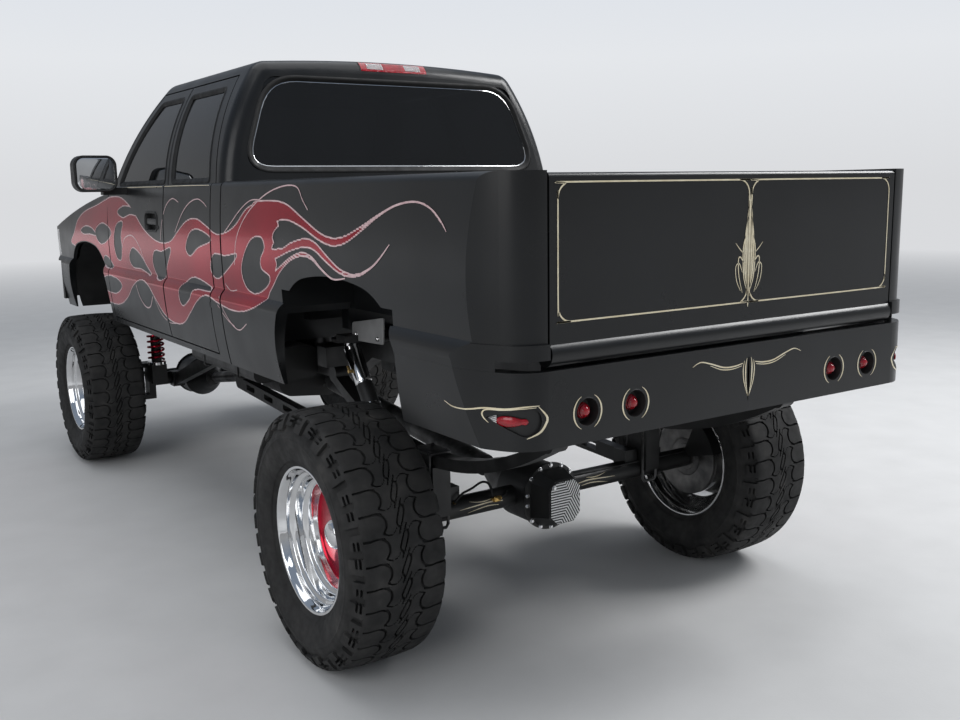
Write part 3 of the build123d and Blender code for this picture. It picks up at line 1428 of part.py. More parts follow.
# Front axle, knuckles and steering
kingpin_x = 700.0
kingpin_radius = 42.0
yoke_inner = 95.0
yoke_thickness = 30.0
yoke_width = 100.0
yoke_web_x = 618.0
steer_arm_reach = 215.0
steer_arm_z = 462.0
steer_arm_thickness = 22.0
steer_pin_radius = 12.0
tie_eye_radius = 28.0
tie_rod_radius = 19.0
tie_thickness = 40.0
front_housing_x = front_output_x
coil_radius = 60.0
coil_wire = 8.0
coil_turns = 8
coil_length = 330.0
coil_plate = 20.0
coil_seat_z = 610.0
with BuildPart() as front_axle:
    with BuildSketch(Plane.YZ.offset(-yoke_web_x)):
        with Locations((front_axle_y, axle_z)):
            Circle(tube_radius)
    extrude(amount=2 * yoke_web_x)
    with BuildSketch(cross_section(front_axle_y + housing_depth)):
        with Locations((front_housing_x, axle_z)):
            Circle(housing_radius)
    extrude(amount=2 * housing_depth - 10)
    with BuildSketch(cross_section(front_axle_y + housing_depth + 50)):
        with Locations((front_housing_x, axle_z)):
            Circle(cover_radius - 40)
    with BuildSketch(cross_section(front_axle_y + housing_depth)):
        with Locations((front_housing_x, axle_z)):
            Circle(cover_radius)
    loft()
    with BuildSketch(cross_section(front_axle_y - housing_depth + 10)):
        with Locations((front_housing_x, axle_z)):
            Circle(housing_radius)
    with BuildSketch(cross_section(front_pinion_y)):
        with Locations((front_housing_x, front_pinion_z)):
            Circle(52)
    loft()
    for side in (-1, 1):
        with BuildSketch(Plane.XY.offset(axle_z - yoke_inner - yoke_thickness)) as yoke:
            with Locations((side * (yoke_web_x + kingpin_x) / 2, front_axle_y)):
                Rectangle(kingpin_x - yoke_web_x, yoke_width)
            with Locations((side * kingpin_x, front_axle_y)):
                Circle(yoke_width / 2)
            with Locations((side * yoke_web_x, front_axle_y)):
                Rectangle(44, yoke_width)
        extrude(amount=2 * (yoke_inner + yoke_thickness))
        with Locations((side * (yoke_web_x + 22 + 200), front_axle_y, axle_z)):
            Box(400, yoke_width + 20, 2 * yoke_inner, mode=Mode.SUBTRACT)
        with Locations((side * tower_x, tower_y + 40, coil_seat_z)):
            Box(100, 190, coil_seat_z - axle_z,
                align=(Align.CENTER, Align.CENTER, Align.MAX))
        with Locations((side * arm_x, front_axle_y - 50, axle_z)):
            Box(arm_width + 24, 80, 100)
save(front_axle.part, "front_axle")

for side, tag in ((-1, "left"), (1, "right")):
    with BuildPart() as knuckle:
        with Locations((side * kingpin_x, front_axle_y, axle_z)):
            Cylinder(kingpin_radius, 2 * (yoke_inner - seat_gap))
        with BuildSketch(Plane.YZ.offset(side * kingpin_x)):
            with Locations((front_axle_y, axle_z)):
                Circle(72)
        extrude(amount=side * (hub_inner_x - 8 - kingpin_x))
        with BuildSketch(Plane.YZ.offset(side * kingpin_x)):
            with Locations((front_axle_y, axle_z)):
                Circle(spindle_radius)
        extrude(amount=side * (mount_face_x - 6 - kingpin_x))
        with BuildSketch(Plane.XY.offset(steer_arm_z - steer_arm_thickness / 2)):
            with Locations((side * (kingpin_x + 20), front_axle_y + steer_arm_reach / 2)):
                Rectangle(40, steer_arm_reach)
            with Locations((side * kingpin_x, front_axle_y + steer_arm_reach)):
                Circle(tie_eye_radius)
        extrude(amount=steer_arm_thickness)
        with Locations((side * kingpin_x, front_axle_y + steer_arm_reach, steer_arm_z)):
            Cylinder(steer_pin_radius, steer_arm_thickness / 2 + tie_thickness + 10,
                     align=(Align.CENTER, Align.CENTER, Align.MIN))
        add(calipers[side].moved(Location((0, front_axle_y, axle_z))))
    save(knuckle.part, f"knuckle_{tag}")

tie_low_z = steer_arm_z + steer_arm_thickness / 2 + seat_gap
with BuildPart() as tie_rod:
    with BuildSketch(Plane.YZ.offset(-kingpin_x + tie_eye_radius - 6)):
        with Locations((front_axle_y + steer_arm_reach, tie_low_z + tie_thickness / 2)):
            Circle(tie_rod_radius)
    extrude(amount=2 * (kingpin_x - tie_eye_radius + 6))
    with Locations((-kingpin_x, front_axle_y + steer_arm_reach, tie_low_z),
                   (kingpin_x, front_axle_y + steer_arm_reach, tie_low_z)):
        Cylinder(tie_eye_radius, tie_thickness, align=(Align.CENTER, Align.CENTER, Align.MIN))
        Cylinder(steer_pin_radius + running_gap, 4 * tie_thickness, mode=Mode.SUBTRACT)
save(tie_rod.part, "tie_rod")

arm_front_y = front_axle_y - 90 - seat_gap
with BuildPart() as radius_arms:
    with BuildSketch(Plane.YZ.offset(arm_x - arm_width / 2)):
        with BuildLine():
            Polyline((arm_front_y, axle_z - 40), (arm_front_y, axle_z + 40),
                     (arm_rear_y, arm_rear_z + 45), (arm_rear_y, arm_rear_z - 45), close=True)
        make_face()
        with Locations((arm_rear_y, arm_rear_z)):
            Circle(45)
    extrude(amount=arm_width)
    mirror(about=Plane.YZ)
save(radius_arms.part, "radius_arms")

coil_top_z = tower_z - 30 - seat_gap
with BuildPart() as coilovers:
    with Locations((tower_x, tower_y, coil_seat_z + seat_gap)):
        Cylinder(28, coil_top_z - coil_seat_z - seat_gap,
                 align=(Align.CENTER, Align.CENTER, Align.MIN))
        Cylinder(coil_radius, coil_plate, align=(Align.CENTER, Align.CENTER, Align.MIN))
    with Locations((tower_x, tower_y, coil_seat_z + coil_plate)):
        Cylinder(coil_radius - coil_wire, coil_length,
                 align=(Align.CENTER, Align.CENTER, Align.MIN))
    with Locations((tower_x, tower_y, coil_seat_z + coil_plate + coil_length)):
        Cylinder(coil_radius, coil_plate, align=(Align.CENTER, Align.CENTER, Align.MAX))
    coil_pitch = (coil_length - coil_plate) / coil_turns
    with Locations(*[(tower_x, tower_y, coil_seat_z + coil_plate + (turn + 0.5) * coil_pitch)
                     for turn in range(coil_turns)]):
        Torus(coil_radius - coil_wire, coil_wire)
    mirror(about=Plane.YZ)
save(coilovers.part, "coilovers")

# Wheels and tyres
def wheel_profiles():
    """Half sections of rim and tyre, with the wheel's axis along local x."""
    face = -wheel_face_offset
    hub_back = face - hub_depth
    disc_back = hub_back + disc_step
    lip = rim_lip_radius
    half = rim_half_width
    rim = (
        (hub_back, spindle_radius + running_gap), (hub_back, hub_radius),
        (disc_back, hub_radius), (disc_back, disc_radius),
        (disc_back + disc_thickness, disc_radius), (disc_back + disc_thickness, hub_radius),
        (face, hub_radius + 20), (face + 20, 120), (face + 34, 196), (-60, 224),
        (-96, 250), (-128, 252), (-half, lip - 14), (-half, lip), (-half + 12, lip - 10),
        (-130, 262), (-100, 262), (-62, 236), (62, 236), (100, 262), (130, 262),
        (half - 12, lip - 10), (half, lip), (half, lip - 13), (118, 252), (104, 246),
        (88, 228), (52, 222), (42, 204), (4, 198), (-4, 190), (10, 74),
        (16, 62), (44, 54), (56, 34), (60, 0), (face + 34, 0),
        (face + 34, spindle_radius + running_gap),
    )
    seat = bead_gap
    tyre = (
        (-129, 262 + seat), (-tyre_bulge_half + 3, 345), (-tyre_bulge_half, 415),
        (-tyre_tread_half, tyre_radius), (tyre_tread_half, tyre_radius),
        (tyre_bulge_half, 415), (tyre_bulge_half - 3, 345), (129, 262 + seat),
    )
    return rim, tyre


rim_profile, tyre_profile = wheel_profiles()
for end, axle_y in (("front", front_axle_y), ("rear", rear_axle_y)):
    for side, tag in ((-1, "left"), (1, "right")):
        for name, profile in (("rim", rim_profile), ("tyre", tyre_profile)):
            wheel_plane = Plane(origin=(side * wheel_centre_x, axle_y, axle_z),
                                x_dir=(side, 0, 0), z_dir=(0, side, 0))
            with BuildPart() as wheel_piece:
                with BuildSketch(wheel_plane):
                    with BuildLine():
                        Polyline(*profile, close=True)
                    make_face()
                revolve(axis=Axis((0, axle_y, axle_z), (1, 0, 0)))
            save(wheel_piece.part, f"{name}_{end}_{tag}")

# Seats and dashboard
seat_floor_z = floor_z + floor_thickness + seat_gap
front_seat_y = door_split_y + 420
rear_seat_y = cab_rear_y + 330
dash_rear_y = firewall_y - 330
steering_wheel_radius = 190.0


def seat_outline(base_y, tilt):
    """Cushion and back of a seat in the side view."""
    low = seat_floor_z
    return (
        (base_y - 250, low + 120), (base_y - 250, low), (base_y + 250, low),
        (base_y + 270, low + 250), (base_y + 260, low + 300), (base_y - 130, low + 270),
        (base_y - 150 - tilt, low + 830), (base_y - 250 - tilt, low + 830),
    )


with BuildPart() as seats:
    for x, width, base_y, tilt in (
        (-400, 520, front_seat_y, 60), (400, 520, front_seat_y, 60),
        (0, 1300, rear_seat_y, 10),
    ):
        with BuildSketch(Plane.YZ.offset(x - width / 2)) as side_view:
            with BuildLine():
                Polyline(*seat_outline(base_y, tilt), close=True)
            make_face()
            fillet(side_view.vertices().group_by(Axis.Y)[-1], 40)
        extrude(amount=width)
save(seats.part, "seats")

dash_half = cab_inner_half - 20
with BuildPart() as dashboard:
    with BuildSketch(Plane.YZ.offset(-dash_half)) as dash:
        with BuildLine():
            front = firewall_y - roof_wall - seat_gap
            Polyline((front, belt_z - 60), (front, belt_z - 420), (front - 140, belt_z - 440),
                     (dash_rear_y + 20, belt_z - 240), (dash_rear_y, belt_z - 110),
                     (dash_rear_y + 60, belt_z - 50), close=True)
        make_face()
        fillet(dash.vertices().group_by(Axis.X)[0], 30)
    extrude(amount=2 * dash_half)
    wheel_origin = (-400, dash_rear_y - 190, belt_z - 120)
    column = Plane(origin=wheel_origin, z_dir=(0, 0.9, -0.43))
    with BuildSketch(column):
        Circle(28)
    extrude(amount=300)
    with BuildSketch(Plane(origin=wheel_origin, x_dir=(1, 0, 0), z_dir=(0, 0.43, 0.9))):
        with Locations((steering_wheel_radius, 0)):
            Circle(14)
    revolve(axis=Axis(wheel_origin, (0, 0.9, -0.43)))
    with BuildSketch(column):
        Circle(60)
        Rectangle(2 * steering_wheel_radius - 6, 34)
    extrude(amount=16)
save(dashboard.part, "dashboard")
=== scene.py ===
import json
import math

import bmesh
import bpy
import numpy as np
from mathutils import Matrix, Vector

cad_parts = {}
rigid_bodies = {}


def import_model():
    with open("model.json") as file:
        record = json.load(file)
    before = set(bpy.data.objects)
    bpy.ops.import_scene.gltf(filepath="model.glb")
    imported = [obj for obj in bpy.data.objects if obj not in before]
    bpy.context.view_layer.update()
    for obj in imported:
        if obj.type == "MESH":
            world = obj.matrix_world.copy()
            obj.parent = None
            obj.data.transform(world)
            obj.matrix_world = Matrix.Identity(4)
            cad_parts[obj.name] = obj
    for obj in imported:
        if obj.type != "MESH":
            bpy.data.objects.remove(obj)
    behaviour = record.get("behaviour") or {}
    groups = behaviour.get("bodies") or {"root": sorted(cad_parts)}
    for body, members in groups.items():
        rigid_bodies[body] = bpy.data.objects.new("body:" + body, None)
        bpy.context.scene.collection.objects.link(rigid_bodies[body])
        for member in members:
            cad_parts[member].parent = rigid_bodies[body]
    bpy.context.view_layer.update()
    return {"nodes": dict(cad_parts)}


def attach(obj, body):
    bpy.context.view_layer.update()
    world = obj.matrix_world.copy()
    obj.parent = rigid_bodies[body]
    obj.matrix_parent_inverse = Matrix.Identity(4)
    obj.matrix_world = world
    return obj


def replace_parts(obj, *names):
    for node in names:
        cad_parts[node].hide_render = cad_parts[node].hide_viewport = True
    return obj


# Lifted pickup truck in the row frame: metres, +X its right side, +Y the front, +Z up.
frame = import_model()
nodes = frame["nodes"]
MM = 0.001

# Driving sizes, as the solids have them
REAR_AXLE_Y = -1.7645
FRONT_AXLE_Y = 1.8805
AXLE_Z = 0.485
WHEEL_X = 0.955
BODY_HALF = 0.985
BODY_REAR = -2.8395
CREASE_Z = 1.318
SHOULDER_Z = 1.258
ROCKER_Z = 0.975
CORNER_RADIUS = 0.13
UPPER_PANEL_Y = BODY_REAR + 0.013
PAN_LAMP_Z = 1.1
PAN_LAMP_X = (0.475, 0.665)
SIDES = ((-1, "left"), (1, "right"))


# Finishes

def colour_ramp(tree_nodes, stops):
    """A colour ramp node with (place, colour) stops."""
    ramp = tree_nodes.new("ShaderNodeValToRGB")
    while len(ramp.color_ramp.elements) < len(stops):
        ramp.color_ramp.elements.new(0.5)
    for element, (position, colour) in zip(ramp.color_ramp.elements, stops):
        element.position = position
        element.color = (*colour, 1)
    return ramp


class Finish:
    """A node material: a Principled shader with layers of noise in the object's own space."""

    def __init__(self, name, **sockets):
        self.material = bpy.data.materials.new(name)
        self.material.use_nodes = True
        tree = self.material.node_tree
        self.nodes, self.links = tree.nodes, tree.links
        self.shader = tree.nodes["Principled BSDF"]
        self.place = self.nodes.new("ShaderNodeTexCoord").outputs["Object"]
        for socket, value in sockets.items():
            self.shader.inputs[socket.replace("_", " ")].default_value = value

    def noise(self, scale, detail=3.0, stretch=(1, 1, 1)):
        """Noise from 0 to 1, finer with scale, drawn out along an axis where stretch is small."""
        mapping = self.nodes.new("ShaderNodeMapping")
        mapping.inputs["Scale"].default_value = stretch
        self.links.new(self.place, mapping.inputs["Vector"])
        texture = self.nodes.new("ShaderNodeTexNoise")
        texture.inputs["Scale"].default_value = scale
        texture.inputs["Detail"].default_value = detail
        self.links.new(mapping.outputs["Vector"], texture.inputs["Vector"])
        return texture.outputs["Fac"]

    def cells(self, scale):
        """Distance pattern of scattered cells, for flakes, grain and lens optics."""
        texture = self.nodes.new("ShaderNodeTexVoronoi")
        texture.inputs["Scale"].default_value = scale
        self.links.new(self.place, texture.inputs["Vector"])
        return texture.outputs["Distance"]

    def shift(self, value, low, high, start, end):
        """A value that runs from low to high as its source runs from start to end."""
        ranged = self.nodes.new("ShaderNodeMapRange")
        for socket, number in (("From Min", start), ("From Max", end), ("To Min", low), ("To Max", high)):
            ranged.inputs[socket].default_value = number
        self.links.new(value, ranged.inputs["Value"])
        return ranged.outputs["Result"]

    def colours(self, value, stops):
        """Base colour from a ramp of (place, colour) stops."""
        ramp = colour_ramp(self.nodes, stops)
        self.links.new(value, ramp.inputs["Fac"])
        self.links.new(ramp.outputs["Color"], self.shader.inputs["Base Color"])
        return self

    def rough(self, value, low, high, start=0.3, end=0.7):
        """Roughness that varies between low and high with its source."""
        self.links.new(self.shift(value, low, high, start, end), self.shader.inputs["Roughness"])
        return self

    def bumps(self, *layers):
        """Bump layers of (height, strength, depth in metres), one on another."""
        normal = None
        for height, strength, depth in layers:
            bump = self.nodes.new("ShaderNodeBump")
            bump.inputs["Strength"].default_value = strength
            bump.inputs["Distance"].default_value = depth
            self.links.new(height, bump.inputs["Height"])
            if normal:
                self.links.new(normal, bump.inputs["Normal"])
            normal = bump.outputs["Normal"]
        self.links.new(normal, self.shader.inputs["Normal"])
        return self


def grey(level, tint=0.0):
    """A grey, a little blue where tint is above 0 and brown where it is below."""
    return level * (1 - tint), level, level * (1 + tint)


def blended(name, colour, rough, bumps, stops=(0.3, 0.7), **sockets):
    """A material of noise: colour (scale, detail, a shade for each stop), roughness (scale, detail,
    low, high) and bumps (scale, detail, strength, depth in metres, perhaps a stretch). A bump with
    no detail is one of cells."""
    finish = Finish(name, **sockets)
    finish.colours(finish.noise(*colour[:2]), tuple(zip(stops, colour[2:])))
    finish.rough(finish.noise(*rough[:2]), *rough[2:])
    layers = []
    for scale, detail, strength, depth, *stretch in bumps:
        pattern = finish.noise(scale, detail, *stretch) if detail else finish.cells(scale)
        layers.append((pattern, strength, depth))
    return finish.bumps(*layers).material


def paint_finish(name, dark, light, low, high):
    """Satin paint with faint orange peel and a haze that varies over the panel."""
    return blended(name, (2.2, 5, dark, light), (5.5, 6, low, high),
                   ((480, 2, 0.12, 0.0002), (60, 3, 0.04, 0.0006)),
                   Specular_IOR_Level=0.36, Coat_Weight=0.12, Coat_Roughness=0.16)


def metal_finish(name, dark, light, low, high, grain=900, depth=0.00005):
    """Bare or plated metal with faint smears and a fine grain."""
    return blended(name, (14, 6, dark, light), (32, 5, low, high), ((grain, 2, 0.1, depth),), Metallic=1.0)


def grimy_finish(name, dark, light, low, high, metallic=0.0):
    """Painted chassis part: satin black with settled dust in patches and an uneven film."""
    return blended(name, (9, 7, dark, grey(0.011), light), (18, 6, low, high),
                   ((260, 4, 0.25, 0.0004), (35, 3, 0.1, 0.001)), (0.35, 0.62, 0.8),
                   Metallic=metallic, Coat_Weight=0.15, Coat_Roughness=0.3)


def line_finish(name, dark, light, metallic, roughness):
    """Hand-laid striping enamel with slight unevenness along the stroke."""
    return blended(name, (30, 4, dark, light), (70, 4, roughness, roughness + 0.12),
                   ((300, 3, 0.2, 0.0002),), Metallic=metallic, Coat_Weight=0.6, Coat_Roughness=0.1)


def lamp_finish(name, dark, light, weight):
    """Moulded lens with an optic pattern under its surface."""
    return blended(name, (40, 3, dark, light), (60, 3, 0.04, 0.12), ((160, 0, 0.35, 0.0012),),
                   Transmission_Weight=weight, IOR=1.5, Coat_Weight=0.5, Coat_Roughness=0.02)


def plastic_finish(name, level, low, high, grain=420):
    """Grained moulded plastic or vinyl."""
    return blended(name, (12, 5, grey(level * 0.8), grey(level * 1.2)), (24, 4, low, high),
                   ((grain, 0, 0.3, 0.0004),), Specular_IOR_Level=0.4)


def glass_finish(name, tint, weight):
    """Tinted glass with faint wiped streaks."""
    finish = Finish(name, Transmission_Weight=weight, IOR=1.48, Specular_IOR_Level=0.6)
    streaks = finish.noise(6, 5, (1, 1, 0.25))
    finish.colours(streaks, ((0.3, tuple(0.8 * channel for channel in tint)), (0.7, tint)))
    finish.rough(streaks, 0.0, 0.035)
    return finish.bumps((finish.noise(3.0, 2), 0.05, 0.002)).material


BODY_BLACK = paint_finish("body_satin_black", grey(0.0045, 0.08), grey(0.0085, 0.1), 0.27, 0.36)
EDGE_BLACK = paint_finish("trim_satin_black", grey(0.01), grey(0.018), 0.35, 0.5)
CHASSIS = grimy_finish("chassis_black", grey(0.004), grey(0.03, -0.08), 0.36, 0.6)
CAST = grimy_finish("cast_black", grey(0.008), grey(0.045, -0.06), 0.42, 0.65)
STEEL_GREY = grimy_finish("grey_steel_painted", grey(0.09), grey(0.2, -0.03), 0.4, 0.6, 0.6)
SEAL = plastic_finish("seal_rubber", 0.008, 0.5, 0.75)
TRIM = plastic_finish("black_plastic", 0.012, 0.38, 0.55)
CABIN = plastic_finish("cabin_vinyl", 0.05, 0.5, 0.7, 300)
GREY_PAINT = plastic_finish("grey_enamel", 0.22, 0.35, 0.5, 260)
CHROME = metal_finish("chrome_plate", grey(0.78), grey(0.88, 0.01), 0.03, 0.09)
POLISHED = metal_finish("polished_alloy", grey(0.72), grey(0.84), 0.06, 0.16)
MIRROR = metal_finish("mirror_silver", grey(0.8, 0.02), grey(0.86, 0.02), 0.01, 0.03)
BRASS = metal_finish("brass", (0.55, 0.36, 0.12), (0.7, 0.48, 0.18), 0.2, 0.35)
IRON = metal_finish("disc_iron", grey(0.12), grey(0.28, -0.03), 0.35, 0.5, 300, 0.0003)
GLASS = glass_finish("tinted_glass", grey(0.035, 0.08), 0.88)
LENS_RED = lamp_finish("lens_red", (0.24, 0.0, 0.004), (0.4, 0.001, 0.012), 0.1)
LENS_CLEAR = lamp_finish("lens_clear", grey(0.75), grey(0.9), 0.7)
AMBER = lamp_finish("lens_amber", (0.55, 0.16, 0.004), (0.75, 0.26, 0.01), 0.3)
FLAME_EDGE = line_finish("flame_edge_silver", (0.62, 0.4, 0.42), (0.85, 0.62, 0.62), 0.35, 0.28)
CREAM = line_finish("cream_striping", (0.68, 0.58, 0.38), (0.84, 0.76, 0.56), 0.0, 0.35)
# White: painted highlight, laid with the striping finish; it stands for the light on the axle cover's
# polished fin crests and on the corner lamps' clear ribs
PAINTED_HIGHLIGHT_WHITE = line_finish("painted_highlight_white", grey(0.7), grey(0.84, -0.01), 0.0, 0.4)
# Tyre rubber, greyer with dust; candy red over silver flake; woven cloth with crossed threads
RUBBER = blended("tyre_rubber_worn", (11, 7, grey(0.012), grey(0.026, -0.03), grey(0.06, -0.07)),
                 (30, 5, 0.62, 0.9), ((700, 3, 0.3, 0.0004), (90, 4, 0.2, 0.0007)), (0.3, 0.6, 0.85),
                 Specular_IOR_Level=0.35)
CANDY = blended("candy_red", (1.6, 4, (0.3, 0.0, 0.012), (0.5, 0.002, 0.026)), (1500, 2, 0.12, 0.22),
                ((1400, 0, 0.12, 0.00012),), Metallic=0.78, Coat_Weight=0.22, Coat_Roughness=0.04)
CLOTH = blended("seat_cloth", (90, 5, grey(0.035, 0.05), grey(0.07, 0.04)), (30, 4, 0.8, 0.95),
                ((1.0, 2, 0.5, 0.0006, (40, 900, 900)), (1.0, 2, 0.5, 0.0006, (900, 40, 900))),
                Sheen_Weight=0.5, Sheen_Roughness=0.5, Specular_IOR_Level=0.2)

SLOT_FINISH = {
    "body_paint": BODY_BLACK, "dark_glass": GLASS, "chassis_black": CHASSIS, "trim_black": TRIM,
    "cabin_trim": CABIN, "seat_fabric": CLOTH, "lamp_red": LENS_RED, "lamp_clear": LENS_CLEAR,
    "polished": POLISHED, "tyre_rubber": RUBBER, "grey_steel": STEEL_GREY, "cast": CAST,
}
for node in nodes.values():
    for holder in node.material_slots:
        holder.material = SLOT_FINISH.get(holder.material.name.split(".")[0], holder.material)


# Mesh tools

def at(x, y, z):
    """Matrix of a place whose axes are the frame's own."""
    return Matrix.Translation(Vector((x, y, z)))


def linked(name, data):
    """An object of that data, linked to the scene."""
    made = bpy.data.objects.new(name, data)
    bpy.context.scene.collection.objects.link(made)
    return made


def stand(name, mesh, body, place=None):
    """A piece of that mesh, put in place and riding on a body."""
    made = linked(name, mesh)
    if place is not None:
        made.matrix_world = place
    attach(made, body)
    return made


def shaded(mesh, sharp=None):
    """The mesh with smooth faces. sharp is the angle in degrees where shading breaks."""
    mesh.polygons.foreach_set("use_smooth", [True] * len(mesh.polygons))
    if sharp:
        mesh.set_sharp_from_angle(angle=math.radians(sharp))
    mesh.update()
    return mesh


class Heap:
    """Points and faces of several shapes that make one mesh."""

    def __init__(self):
        self.points, self.faces, self.ids = [], [], []

    def add(self, points, faces, material=0, place=None):
        """Add a shape, carried to a place where one is given."""
        base = len(self.points)
        if place is not None:
            points = [place @ Vector(point) for point in points]
        self.points.extend(tuple(map(float, point)) for point in points)
        self.faces.extend(tuple(base + index for index in face) for face in faces)
        self.ids.extend([material] * len(faces))
        return self

    def lay(self, shape, surface, material=0, flip=False):
        """Add a shape whose points a surface takes to space."""
        points, faces = shape
        return self.add([surface(*point) for point in points], turned_over(faces, flip), material)

    def mesh(self, name, finishes, sharp=None):
        """The shapes as one mesh."""
        mesh = bpy.data.meshes.new(name)
        mesh.from_pydata(self.points, [], self.faces)
        for finish in finishes if isinstance(finishes, (list, tuple)) else [finishes]:
            mesh.materials.append(finish)
        mesh.polygons.foreach_set("material_index", self.ids)
        return shaded(mesh, sharp)

    def piece(self, name, finishes, body, slot, sharp=None):
        """The shapes as one piece that rides on a body."""
        return stand(name, self.mesh(name, finishes, sharp), body)


def modified(name, mesh, *modifiers):
    """A new mesh with modifiers applied, each given as (kind, settings)."""
    holder = linked(name, mesh)
    for kind, settings in modifiers:
        modifier = holder.modifiers.new(kind, kind)
        for key, value in settings.items():
            setattr(modifier, key, value)
    made = evaluated(holder)
    bpy.data.objects.remove(holder)
    return made


def evaluated(holder):
    """A new mesh of an object with its modifiers applied."""
    return bpy.data.meshes.new_from_object(holder.evaluated_get(bpy.context.evaluated_depsgraph_get()))


def turned_over(faces, flip=True):
    """Faces with their direction reversed."""
    return [tuple(face)[::-1] for face in faces] if flip else faces


def skin(rings, around, closed=False):
    """Faces between rings of points that lie one after another."""
    faces = []
    for ring in range(rings if closed else rings - 1):
        low, high = ring * around, (ring + 1) % rings * around
        for k in range(around):
            after = (k + 1) % around
            faces.append((low + k, low + after, high + after, high + k))
    return faces


def bar(sections, around):
    """Faces of a bar whose sections of so many points lie one after another, closed at both ends."""
    last = (sections - 1) * around
    return skin(sections, around) + [tuple(range(around))[::-1], tuple(range(last, last + around))]


def metres(path):
    """Rows that are given in millimetres."""
    return [[MM * value for value in row] for row in path]


def polar(radius, turn, centre=(0, 0)):
    """Point at a turn, in radians, round a centre."""
    return centre[0] + radius * math.cos(turn), centre[1] + radius * math.sin(turn)


def smooth_path(points, steps, closed=False):
    """Catmull-Rom curve through the points, as rows."""
    given = np.asarray(points, float)
    count = len(given)
    rows = []
    for start in range(count if closed else count - 1):
        order = [start + k for k in (-1, 0, 1, 2)]
        order = [k % count if closed else min(max(k, 0), count - 1) for k in order]
        a, b, c, d = given[order]
        for t in np.arange(steps) / steps:
            rows.append(0.5 * (2 * b + (c - a) * t + (2 * a - 5 * b + 4 * c - d) * t ** 2
                               + (3 * b - a - 3 * c + d) * t ** 3))
    if not closed:
        rows.append(given[-1])
    return np.array(rows)


def softened(points, radius, steps=3, closed=False):
    """A section with each corner rounded by about that radius."""
    given = np.asarray(points, float)
    rows = []
    for k, corner in enumerate(given):
        if not closed and k in (0, len(given) - 1):
            rows.append(corner)
            continue
        before, after = given[k - 1], given[(k + 1) % len(given)]
        to_before, to_after = before - corner, after - corner
        reach_before = min(radius, 0.45 * np.linalg.norm(to_before))
        reach_after = min(radius, 0.45 * np.linalg.norm(to_after))
        start = corner + to_before / np.linalg.norm(to_before) * reach_before
        end = corner + to_after / np.linalg.norm(to_after) * reach_after
        for t in np.linspace(0, 1, steps + 1):
            rows.append((1 - t) ** 2 * start + 2 * t * (1 - t) * corner + t ** 2 * end)
    return np.array(rows)


def turned(section, segments, closed=False):
    """Points and faces of a section (x, r) turned about the x axis."""
    points, faces, rings = [], [], []
    for x, r in section:
        if r < 1e-6:
            rings.append([len(points)] * segments)
            points.append((x, 0, 0))
        else:
            rings.append(range(len(points), len(points) + segments))
            points += [(x, u, v) for u, v in circle(r, segments)]
    for one, two in zip(rings, rings[1:] + rings[:1] if closed else rings[1:]):
        for k in range(segments):
            after = (k + 1) % segments
            face = list(dict.fromkeys((one[k], one[after], two[after], two[k])))
            if len(face) > 2:
                faces.append(face[::-1])
    return points, faces


def tube(path, radius, segments=10, closed=False):
    """Points and faces of a round bar along a path; radius may be a list."""
    path = [Vector(point) for point in path]
    count = len(path)
    radii = radius if isinstance(radius, (list, tuple)) else [radius] * count
    points, side = [], None
    for k, centre in enumerate(path):
        ahead = path[(k + 1) % count] if closed or k < count - 1 else path[k]
        behind = path[k - 1] if closed or k > 0 else path[k]
        along = (ahead - behind).normalized()
        if side is None:
            side = along.orthogonal().normalized()
        side = (side - along * side.dot(along)).normalized()
        up = along.cross(side)
        points += [centre + (side * u + up * v) * radii[k] for u, v in circle(1, segments)]
    return points, skin(count, segments, True) if closed else bar(count, segments)


# Cutting shapes from a fine grid

FAR = 1e9


def segment_distance(where, start, end, start_half=0.0, end_half=0.0):
    """Distance from each row to a segment, less the half width that runs along it."""
    along = end - start
    share = np.clip(((where - start) @ along) / max(along @ along, 1e-12), 0, 1)
    gap = where - start - share[:, None] * along
    return np.sqrt((gap ** 2).sum(1)) - (start_half + share * (end_half - start_half))


def stroke(where, path, steps=6):
    """Signed distance to a tapered brush stroke whose rows are (u, v, half width)."""
    rows = smooth_path(path, steps)
    best = np.full(len(where), FAR)
    for one, two in zip(rows, rows[1:]):
        best = np.minimum(best, segment_distance(where, one[:2], two[:2], one[2], two[2]))
    return best


def loop(where, path, steps=6):
    """Signed distance to a smooth closed loop, negative inside."""
    rows = smooth_path(path, steps, True) if steps > 1 else np.asarray(path, float)
    best = np.full(len(where), FAR)
    inside = np.zeros(len(where), bool)
    u, v = where[:, 0], where[:, 1]
    for one, two in zip(rows, np.roll(rows, -1, 0)):
        best = np.minimum(best, segment_distance(where, one, two))
        crosses = (one[1] > v) != (two[1] > v)
        rise = two[1] - one[1] if abs(two[1] - one[1]) > 1e-12 else 1e-12
        inside ^= crosses & (u < one[0] + (v - one[1]) * (two[0] - one[0]) / rise)
    return np.where(inside, -best, best)


def trimmed(polygon, gap):
    """Polygon rows cut to where a measure of them isn't below 0."""
    kept = []
    for one, two in zip(polygon, polygon[1:] + polygon[:1]):
        a, b = gap(one), gap(two)
        if a >= 0:
            kept.append(one)
        if (a >= 0) != (b >= 0):
            share = a / (a - b)
            kept.append(tuple(p + (q - p) * share for p, q in zip(one, two)))
    return kept


